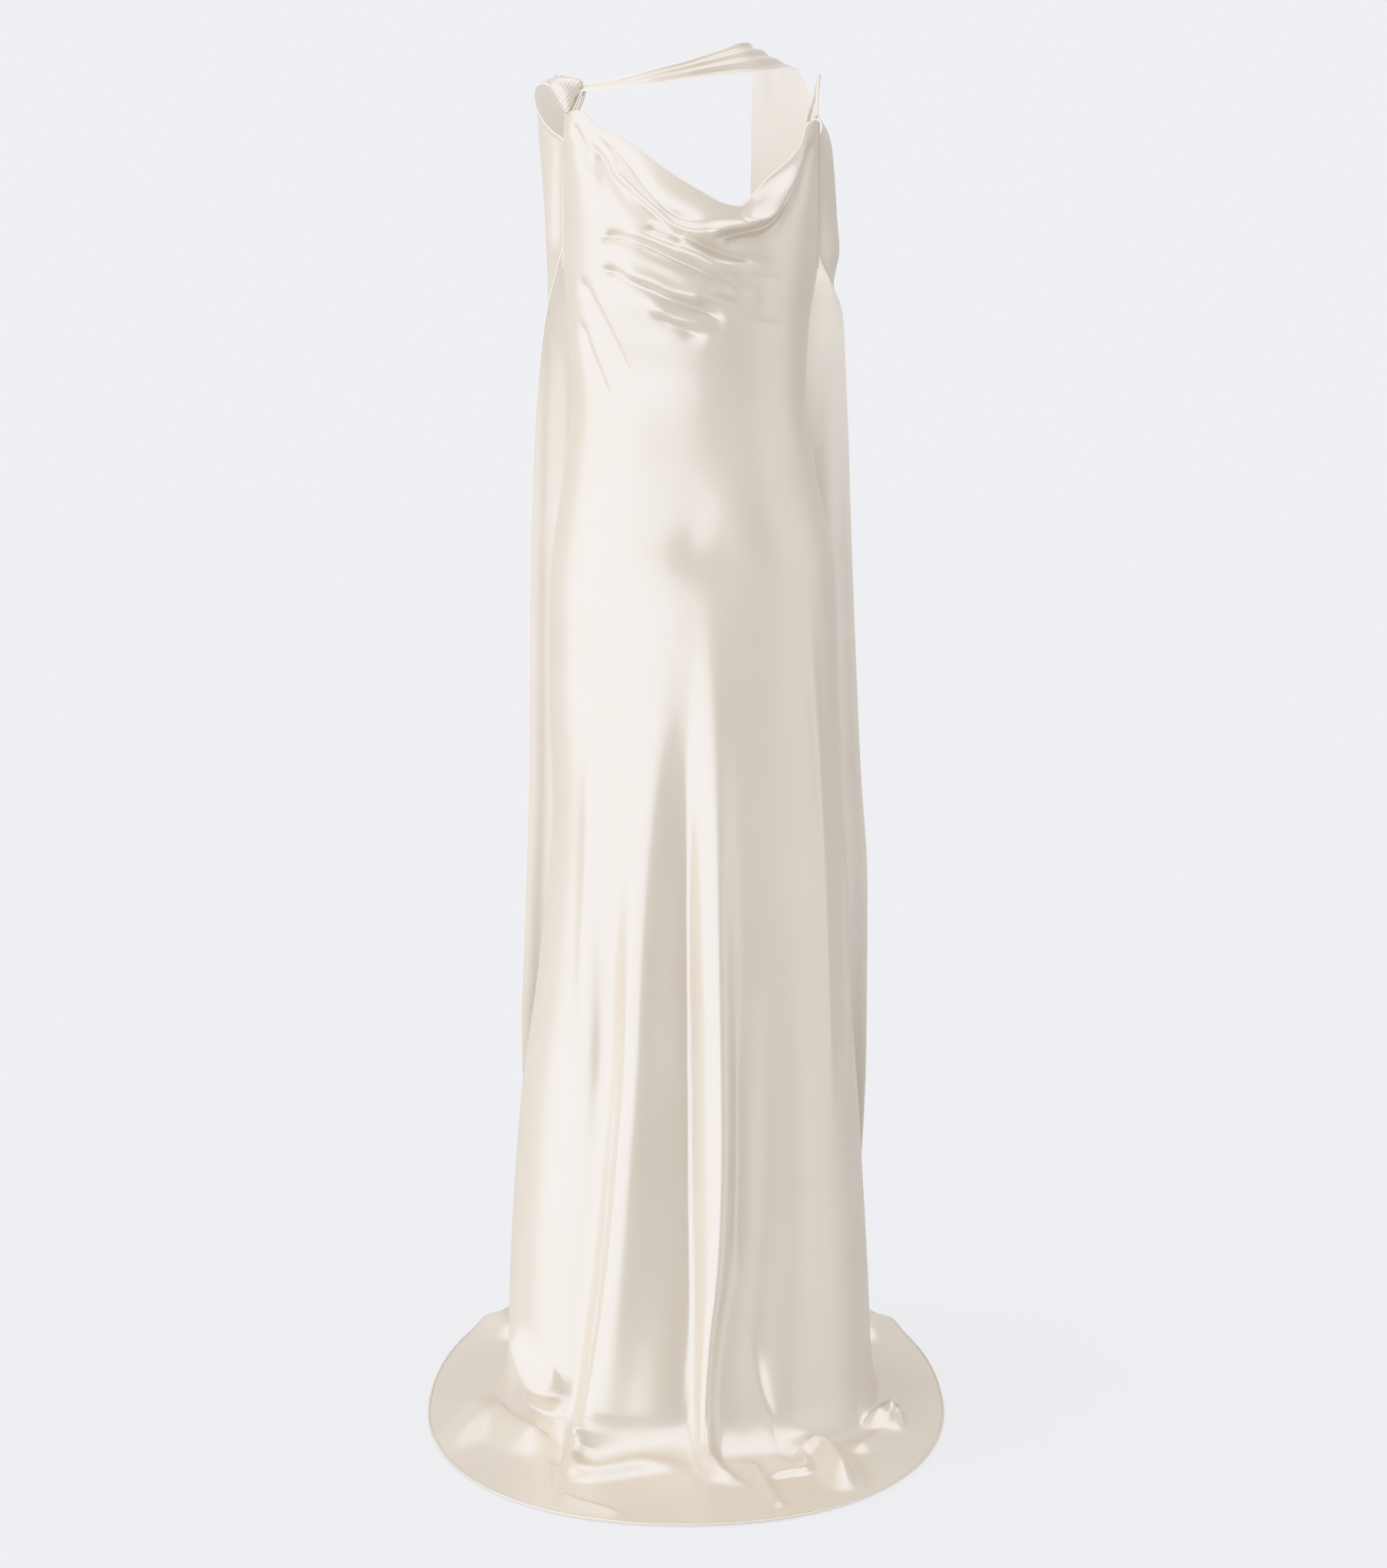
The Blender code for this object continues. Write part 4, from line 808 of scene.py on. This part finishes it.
# rows from the front edge round the side and the back to the inner edge; only the edge and the
# inner end give a height, and an edge of None is sewn to the front's armhole
cape = {
    "columns": 73,
    "rowsPerStep": 12,
    "armholeStep": (0.0006, 0.0014, 0.0),  # how far the cape stands off the front's armhole edge
    "inside": (0.55, 0.3, 1.0),  # share of a row's middle from which its outer side is told
    "waves": 3,
    "waveHeight": 0.0045,
    "sewnWave": 0.2,  # share of the waves where the cape is held
    "freeBelow": 1.40,  # height under which it hangs more and more freely
    "freeOver": 0.5,
    "calmEdge": 0.15,  # share of the width over which the waves die to the front edge
    "edge": (0.0008, 0.0007, -dress["clothThickness"] / 2),  # half width, half depth, lift
    "stitchInset": 0.004,
    "right": [
        ((-0.1508, -0.0455, 1.5475), (-0.1498, -0.0430), (-0.1483, -0.0400), (-0.1458, -0.0368, 1.5550)),
        ((-0.1590, -0.0250, 1.5520), (-0.1550, -0.0190), (-0.1490, -0.0150), (-0.1415, -0.0120, 1.5620)),
        ((-0.1675, 0.0020, 1.5510), (-0.1610, 0.0120), (-0.1490, 0.0190), (-0.1375, 0.0220, 1.5630)),
        ((-0.1720, 0.0200, 1.5400), (-0.1660, 0.0400), (-0.1510, 0.0530), (-0.1355, 0.0560, 1.5490)),
        ((-0.1700, 0.0210, 1.5270), (-0.1690, 0.0500), (-0.1540, 0.0740), (-0.1345, 0.0800, 1.5250)),
        ((-0.1620, 0.0090, 1.5120), (-0.1690, 0.0450), (-0.1570, 0.0840), (-0.1320, 0.0950, 1.4980)),
        ((-0.1500, -0.0130, 1.4990), (-0.1680, 0.0370), (-0.1590, 0.0920), (-0.1280, 0.1050, 1.4780)),
        ((None, None, 1.4860), (-0.1660, 0.0330), (-0.1590, 0.0970), (-0.1230, 0.1130, 1.4580)),
        ((None, None, 1.4400), (-0.1640, 0.0380), (-0.1575, 0.1030), (-0.1150, 0.1200, 1.4250)),
        ((None, None, 1.3850), (-0.1620, 0.0420), (-0.1560, 0.1070), (-0.1050, 0.1250, 1.3850)),
        ((-0.1500, 0.0350, 1.3450), (-0.1610, 0.0680), (-0.1470, 0.1110), (-0.0950, 0.1300, 1.3450)),
        ((-0.1620, 0.0600, 1.3000), (-0.1600, 0.0900), (-0.1400, 0.1180), (-0.0850, 0.1350, 1.3000)),
        ((-0.1750, 0.0880, 1.2000), (-0.1490, 0.1070), (-0.1080, 0.1310), (-0.0600, 0.1460, 1.2000)),
        ((-0.1845, 0.0850, 1.0000), (-0.1500, 0.1010), (-0.1050, 0.1310), (-0.0500, 0.1610, 1.0000)),
        ((-0.1880, 0.0900, 0.7700), (-0.1520, 0.1080), (-0.1050, 0.1410), (-0.0440, 0.1710, 0.7700)),
        ((-0.1960, 0.0950, 0.5600), (-0.1600, 0.1180), (-0.1100, 0.1510), (-0.0400, 0.1810, 0.5600)),
        ((-0.2010, 0.1050, 0.4300), (-0.1680, 0.1310), (-0.1150, 0.1670), (-0.0370, 0.1960, 0.4300)),
        ((-0.1970, 0.1350, 0.2800), (-0.1650, 0.1620), (-0.1150, 0.2060), (-0.0400, 0.2270, 0.2800)),
        ((-0.1880, 0.1800, 0.1400), (-0.1550, 0.2060), (-0.1100, 0.2350), (-0.0400, 0.2600, 0.1400)),
    ],
    "left": [
        ((0.1236, 0.0320, 1.5712), (0.1130, 0.0440), (0.0950, 0.0590), (0.0755, 0.0655, 1.5768)),
        ((0.1320, 0.0450, 1.5570), (0.1230, 0.0590), (0.1020, 0.0740), (0.0750, 0.0810, 1.5600)),
        ((0.1395, 0.0480, 1.5400), (0.1340, 0.0690), (0.1090, 0.0870), (0.0745, 0.0930, 1.5400)),
        ((0.1465, 0.0300, 1.5210), (0.1500, 0.0600), (0.1230, 0.0970), (0.0740, 0.1010, 1.5150)),
        ((0.1505, -0.0050, 1.5060), (0.1590, 0.0430), (0.1370, 0.1040), (0.0740, 0.1060, 1.4950)),
        ((None, None, 1.4900), (0.1630, 0.0380), (0.1470, 0.1090), (0.0740, 0.1100, 1.4740)),
        ((None, None, 1.4450), (0.1680, 0.0400), (0.1560, 0.1120), (0.0735, 0.1160, 1.4400)),
        ((None, None, 1.4050), (0.1710, 0.0430), (0.1600, 0.1140), (0.0730, 0.1200, 1.4050)),
        ((None, None, 1.3700), (0.1740, 0.0450), (0.1620, 0.1160), (0.0720, 0.1230, 1.3700)),
        ((0.1620, 0.0220, 1.3350), (0.1690, 0.0560), (0.1500, 0.1050), (0.0700, 0.1260, 1.3350)),
        ((0.1775, 0.0520, 1.3000), (0.1680, 0.0850), (0.1380, 0.1130), (0.0680, 0.1290, 1.3000)),
        ((0.1850, 0.0800, 1.2000), (0.1540, 0.1010), (0.1120, 0.1270), (0.0600, 0.1420, 1.2000)),
        ((0.1935, 0.0860, 1.0000), (0.1580, 0.1020), (0.1120, 0.1330), (0.0460, 0.1650, 1.0000)),
        ((0.2050, 0.0920, 0.7700), (0.1650, 0.1100), (0.1150, 0.1430), (0.0380, 0.1730, 0.7700)),
        ((0.2150, 0.0970, 0.6200), (0.1720, 0.1180), (0.1180, 0.1520), (0.0350, 0.1820, 0.6200)),
        ((0.2160, 0.1050, 0.4300), (0.1780, 0.1320), (0.1220, 0.1680), (0.0350, 0.1970, 0.4300)),
        ((0.2130, 0.1350, 0.2800), (0.1750, 0.1630), (0.1220, 0.2080), (0.0360, 0.2280, 0.2800)),
        ((0.2020, 0.1800, 0.1400), (0.1650, 0.2080), (0.1180, 0.2360), (0.0400, 0.2600, 0.1400)),
    ],
}


def armhole(z, side):
    z = np.atleast_1d(z)
    edge = dressPoint(np.full(len(z), side * np.pi / 2), dropAt(z))
    return edge + np.array(cape["armholeStep"]) * [side, 1, 1]


def capeGrid(table, side):
    rows = []
    for edge, sidePoint, backPoint, inner in table:
        edge = armhole(edge[2], side)[0] if edge[0] is None else edge
        fall = (inner[2] - edge[2]) / 3
        rows.append([edge, (*sidePoint, edge[2] + fall), (*backPoint, edge[2] + 2 * fall), inner])
    columns = np.array(rows).reshape(len(table), -1).T
    at = np.linspace(0, len(table) - 1, (len(table) - 1) * cape["rowsPerStep"] + 1)
    rows = np.stack([smooth(np.arange(len(table)), column, at) for column in columns], -1)
    rows = rows.reshape(len(at), 4, 3)
    sewn = [place for place, row in enumerate(table) if row[0][0] is None]
    onArmhole = (at >= sewn[0]) & (at <= sewn[-1])
    rows[onArmhole, 0] = armhole(rows[onArmhole, 0, 2], side)
    return np.array([smoothPath(row, cape["columns"]) for row in rows])


def makeCape(name, table, side, hidden):
    grid = capeGrid(table, side)
    outward = grid - grid.mean(axis=1, keepdims=True) * cape["inside"]
    normals = gridNormals(grid, outward)
    across = np.linspace(0, 1, grid.shape[1])[None]
    hanging = ease((cape["freeBelow"] - grid[:, :, 2]) / cape["freeOver"])
    height = cape["waveHeight"] * (cape["sewnWave"] + (1 - cape["sewnWave"]) * hanging)
    # the side's sign also puts the two capes' waves out of step
    wave = height * ease(across / cape["calmEdge"]) * np.sin(2 * np.pi * cape["waves"] * across + side)
    grid = grid + normals * wave[..., None]
    normals = gridNormals(grid, outward)
    shell = clothShell(name, grid, outward, [hidden])
    edges = {"FrontEdge": np.s_[:, 0], "InnerEdge": np.s_[:, -1], "BottomEdge": np.s_[-1]}
    trims = [edgeRoll(name + part, grid[line], normals[line], cape["edge"], satinReverse)
             for part, line in edges.items()]
    for part, fromEnd in (("FrontStitches", False), ("InnerStitches", True)):
        path = insetPath(grid, cape["stitchInset"], fromEnd)
        beside = normals[:, -2] if fromEnd else normals[:, 1]
        trims.append(stitchRow(name + part, path, beside))


makeCape("capeRight", cape["right"], -1, "cape_right")
makeCape("capeLeft", cape["left"], 1, "cape_left")
print("capes hung")


# ---- scarf

scarf = {
    "rows": 121,
    "columns": 61,
    "outward": (0, -1, 0.6),
    "bow": 0.004,
    "bowWidth": 0.04,  # where the scarf is narrower than this it bows less
    "pleats": 3,
    "pleatDepth": 0.0014,
    "pleatWidth": 0.03,
    "pleatFade": 0.2,  # share of the length over which the pleats die to the left end
    "edge": (0.0010, 0.0009, 0.0),  # half width, half depth, lift
    # lower and upper edge, from the knot over the left shoulder
    "edges": [
        ((-0.1153, -0.0595, 1.5415), (-0.1148, -0.0545, 1.5475)),
        ((-0.0780, -0.0780, 1.5440), (-0.0770, -0.0710, 1.5530)),
        ((-0.0380, -0.0890, 1.5470), (-0.0370, -0.0780, 1.5630)),
        ((0.0000, -0.0890, 1.5520), (-0.0010, -0.0730, 1.5720)),
        ((0.0400, -0.0790, 1.5565), (0.0330, -0.0550, 1.5840)),
        ((0.0720, -0.0590, 1.5600), (0.0590, -0.0280, 1.5945)),
        ((0.0980, -0.0300, 1.5645), (0.0680, 0.0050, 1.5960)),
        ((0.1150, 0.0020, 1.5690), (0.0725, 0.0380, 1.5890)),
        ((0.1230, 0.0300, 1.5715), (0.0755, 0.0630, 1.5780)),
    ],
}


def makeScarf():
    lower, upper = (smoothPath(edge, scarf["rows"]) for edge in zip(*scarf["edges"]))
    across = np.linspace(0, 1, scarf["columns"])[None]
    grid = lower[:, None] + (upper - lower)[:, None] * across[..., None]
    outward = np.zeros_like(grid) + scarf["outward"]
    normals = gridNormals(grid, outward)
    width = np.linalg.norm(upper - lower, axis=-1)[:, None]
    swell = scarf["bow"] * np.sin(np.pi * across) * ease(width / scarf["bowWidth"])
    pleat = scarf["pleatDepth"] * np.cos(2 * np.pi * scarf["pleats"] * across)
    pleat = pleat * ease(width / scarf["pleatWidth"])
    pleat = pleat * ease(np.linspace(1 / scarf["pleatFade"], 0, len(grid)))[:, None]
    return grid + normals * (swell + pleat)[..., None], outward


scarfGrid, scarfOutward = makeScarf()
scarfNormals = gridNormals(scarfGrid, scarfOutward)
neckScarf = clothShell("neckScarf", scarfGrid, scarfOutward, ["neck_scarf"])
scarfTrims = [edgeRoll(name, scarfGrid[:, column], scarfNormals[:, column], scarf["edge"], satinReverse)
              for name, column in (("scarfLowerEdge", 0), ("scarfUpperEdge", -1))]
print("scarf laid")


# ---- knot

knot = {
    "top": (-0.1325, -0.0490, 1.5568),
    "bottom": (-0.1310, -0.0575, 1.5185),
    # share of the way down, half width, half depth
    "outline": [
        (0.00, 0.0050, 0.0050), (0.05, 0.0140, 0.0100), (0.14, 0.0178, 0.0128), (0.26, 0.0186, 0.0138),
        (0.45, 0.0158, 0.0128), (0.68, 0.0110, 0.0102), (0.88, 0.0066, 0.0076), (1.00, 0.0040, 0.0050),
    ],
    "capHeight": 0.0012,  # how far the two ends round over
    "pleatPitch": 0.0036,
    "pleatLean": 50,  # degrees; pleats run down towards the wearer's right
    "pleatDepth": 0.00022,
    "pleatFades": (0.10, 0.06),  # shares of the way down over which they grow and die
    # unevenness across and down: size in radians, pace in radians a metre
    "pleatSway": ((0.9, 120), (0.7, 170)),
    "broadPleats": (0.35, 0.37),  # a second set: share of the depth, share of the pace
    "rows": 120,
    "rowLean": 1.3,  # over 1 draws the rows together at the top
    "columns": 300,
    # gathered cloth that leaves the knot for the front
    "strands": [
        [(-0.1150, -0.0550, 1.5455), (-0.1185, -0.0620, 1.5340), (-0.1245, -0.0640, 1.5200)],
        [(-0.1120, -0.0530, 1.5430), (-0.1150, -0.0600, 1.5310), (-0.1215, -0.0630, 1.5165)],
    ],
    "strandPoints": 24,
    "strandUp": (0.3, -1.0, 0.2),
    "strandSize": (0.0017, 0.00119),
}


def makeKnot():
    top, bottom = np.array(knot["top"]), np.array(knot["bottom"])
    share, halfWidth, halfDepth = zip(*knot["outline"])
    down = np.linspace(0, 1, knot["rows"])[:, None] ** knot["rowLean"]
    turn = np.arange(knot["columns"])[None] * 2 * np.pi / knot["columns"]
    x = smooth(share, halfWidth, down) * np.cos(turn)
    y = smooth(share, halfDepth, down) * np.sin(turn)
    lean = math.radians(knot["pleatLean"])
    height = (top[2] - bottom[2]) * (1 - down)
    phase = 2 * np.pi * (x * math.sin(lean) - height * math.cos(lean)) / knot["pleatPitch"]
    (acrossSway, acrossPace), (downSway, downPace) = knot["pleatSway"]
    phase = phase + acrossSway * np.sin(acrossPace * x + 1.0) + downSway * np.sin(downPace * height)
    broadDepth, broadPace = knot["broadPleats"]
    grow, fade = knot["pleatFades"]
    pleat = np.cos(phase) + broadDepth * np.cos(broadPace * phase + 1.0)
    pleat = knot["pleatDepth"] * pleat * (ease(down / grow) * ease((1 - down) / fade))
    x = x + pleat * np.cos(turn)
    y = y + pleat * np.sin(turn)
    rings = top + (bottom - top) * down[..., None] + np.stack([x, y, 0 * x], -1)
    ends = [top + [0, 0, knot["capHeight"]], bottom - [0, 0, knot["capHeight"]]]
    vertices = np.concatenate([rings.reshape(-1, 3), ends])
    # the rings go the other way round here than in a tube, so each face is turned over
    faces = [(first, *others[::-1]) for first, *others in ringFaces(knot["rows"], knot["columns"])]
    addPiece("shoulderKnot", vertices, faces, [satinFace], hidden=["shoulder_knot"])
    for number, points in enumerate(knot["strands"]):
        path = smoothPath(points, knot["strandPoints"])
        tube("knotStrand%d" % number, path, knot["strandUp"], *knot["strandSize"], satinFace)


makeKnot()
print("knot tied")


# ---- strap

strap = {
    "width": 0.0021,
    "depth": 0.0014,
    "sides": 12,
    "points": 160,
    "up": (0.2, -1.0, 0.3),
    "path": [
        (0.1424, -0.0490, 1.5138), (0.1435, -0.0300, 1.5345), (0.1460, -0.0060, 1.5540),
        (0.1480, 0.0120, 1.5620), (0.1465, 0.0215, 1.5540), (0.1385, 0.0330, 1.5230),
        (0.1315, 0.0540, 1.4800), (0.1275, 0.0640, 1.4100), (0.1235, 0.0630, 1.3300),
        (0.1190, 0.0530, 1.2505),
    ],
}
tube("shoulderStrap", smoothPath(strap["path"], strap["points"]), strap["up"], strap["width"],
     strap["depth"], satinFace, strap["sides"], ["shoulder_strap"])
print("strap fitted")


# ---- studio

studio = {
    "background": (0.855, 0.863, 0.896),
    "floorGlow": 0.45,  # share of the floor's look that no shadow reaches
    "domeRadius": 14.0,
    "floorWidth": 30.8,
    "ambient": (0.70, 0.70, 0.71),
    # soft lights as parts of the sky, in degrees: azimuth (0 is towards the camera, plus is the view's
    # right), half width, soft rim, elevation, half height, soft rim, colour
    "lights": [
        (-71, 34, 11, 5, 35, 12, (1.72, 1.76, 1.90)),
        (-19, 18, 10, -13, 20, 10, (1.72, 1.76, 1.90)),
        (80, 26, 18, 0, 40, 16, (0.40, 0.40, 0.41)),
        (0, 400, 1, 90, 36, 10, (1.55, 1.57, 1.66)),
    ],
}
camera = {
    "place": (0.007, -3.54, 1.352),
    "pitch": 9.48,  # degrees down from level
    "focalPixels": 4043.0,  # focal length in the pixels of an image this high
    "imageHeight": 2044,
    "sensor": 36.0,
}


def makeSky():
    world = bpy.data.worlds.new("studioSky")
    bpy.context.scene.world = world
    world.use_nodes = True
    world.node_tree.nodes.clear()
    start = Link(world.node_tree)
    towards = start.node("ShaderNodeTexCoord", output=0)
    x, y, z = (start.node("ShaderNodeSeparateXYZ", sockets={0: towards}, output=axis) for axis in range(3))
    azimuth = start.math("ARCTAN2", x, y * -1.0) * (180 / math.pi)
    elevation = start.math("ARCSINE", z) * (180 / math.pi)
    light = start.node("ShaderNodeRGB")
    light.socket.default_value = rgba(studio["ambient"])
    for turned, halfWidth, sideRim, raised, halfHeight, topRim, colour in studio["lights"]:
        beside = start.math("ABSOLUTE", azimuth - turned)
        above = start.math("ABSOLUTE", elevation - raised)
        lobe = (beside.rise(halfWidth + sideRim, halfWidth - sideRim)
                * above.rise(halfHeight + topRim, halfHeight - topRim))
        glowing = start.node("ShaderNodeVectorMath", {"operation": "SCALE"}, {0: colour, "Scale": lobe})
        light = start.node("ShaderNodeVectorMath", {"operation": "ADD"}, {0: light, 1: glowing})
    background = start.node("ShaderNodeBackground", sockets={"Color": light, "Strength": 1.0})
    start.node("ShaderNodeOutputWorld", sockets={"Surface": background})


def skyOnFloor():
    # the mean light that falls on an open floor, summed over the sky degree by degree, from which the
    # paper's own tone follows
    azimuth, elevation = np.meshgrid(np.arange(-179.5, 180), np.arange(0.5, 90))
    weight = np.sin(np.radians(elevation)) * np.cos(np.radians(elevation))
    light = np.zeros((*azimuth.shape, 3)) + studio["ambient"]
    for turned, halfWidth, sideRim, raised, halfHeight, topRim, colour in studio["lights"]:
        lobe = (ease((halfWidth + sideRim - abs(azimuth - turned)) / (2 * sideRim))
                * ease((halfHeight + topRim - abs(elevation - raised)) / (2 * topRim)))
        light += lobe[..., None] * colour
    return (light * weight[..., None]).sum((0, 1)) / weight.sum()


def beforeTone(colour):
    # the light that the view's soft shoulder turns into this colour
    shoulder, paling, lift = 0.76, 0.15, 0.04
    peak = max(colour)
    bright = (1 - shoulder) ** 2 / (1 - peak) - (1 - shoulder) + shoulder
    pale = 1 - 1 / (paling * (bright - peak) + 1)
    return [(part - pale * peak) / (1 - pale) * bright / peak + lift for part in colour]


def glow(name, colour):
    made, start = newMaterial(name)
    shader = start.node("ShaderNodeEmission", sockets={"Color": rgba(colour), "Strength": 1.0})
    start.node("ShaderNodeOutputMaterial", sockets={"Surface": shader})
    return made


def makeBackdrop():
    bpy.ops.mesh.primitive_uv_sphere_add(segments=48, ring_count=24, radius=studio["domeRadius"])
    dome = bpy.context.object
    dome.name = "backdropDome"
    tone = beforeTone(studio["background"])
    dome.data.materials.append(glow("backdropPaper", tone))
    dome.visible_diffuse = dome.visible_glossy = dome.visible_transmission = dome.visible_shadow = False
    bpy.ops.mesh.primitive_plane_add(size=studio["floorWidth"], location=(0, 0, -dress["shoulderHeight"]))
    floor = bpy.context.object
    floor.name = "studioFloor"
    made, start = newMaterial("floorPaper")
    paper = np.array(tone) / skyOnFloor()
    matte = start.node("ShaderNodeBsdfDiffuse", sockets={"Color": rgba(paper.tolist())})
    lit = start.node("ShaderNodeEmission", sockets={"Color": rgba(tone)})
    both = start.node("ShaderNodeMixShader", sockets={0: studio["floorGlow"], 1: matte, 2: lit})
    start.node("ShaderNodeOutputMaterial", sockets={"Surface": both})
    floor.data.materials.append(made)
    floor.visible_diffuse = floor.visible_glossy = floor.visible_shadow = False  # light passes up through it


def makeCamera():
    lens = bpy.data.cameras.new("studioCamera")
    lens.sensor_fit = "VERTICAL"
    lens.sensor_height = camera["sensor"]
    lens.lens = camera["focalPixels"] / camera["imageHeight"] * camera["sensor"]
    lens.clip_end = 100
    made = bpy.data.objects.new("studioCamera", lens)
    x, y, z = camera["place"]
    made.location = (x, y, z - dress["shoulderHeight"])
    made.rotation_euler = (math.radians(90 - camera["pitch"]), 0, 0)
    bpy.context.collection.objects.link(made)
    bpy.context.scene.camera = made


makeSky()
makeBackdrop()
makeCamera()
bpy.context.scene.view_settings.view_transform = "Khronos PBR Neutral"
print("studio lit")
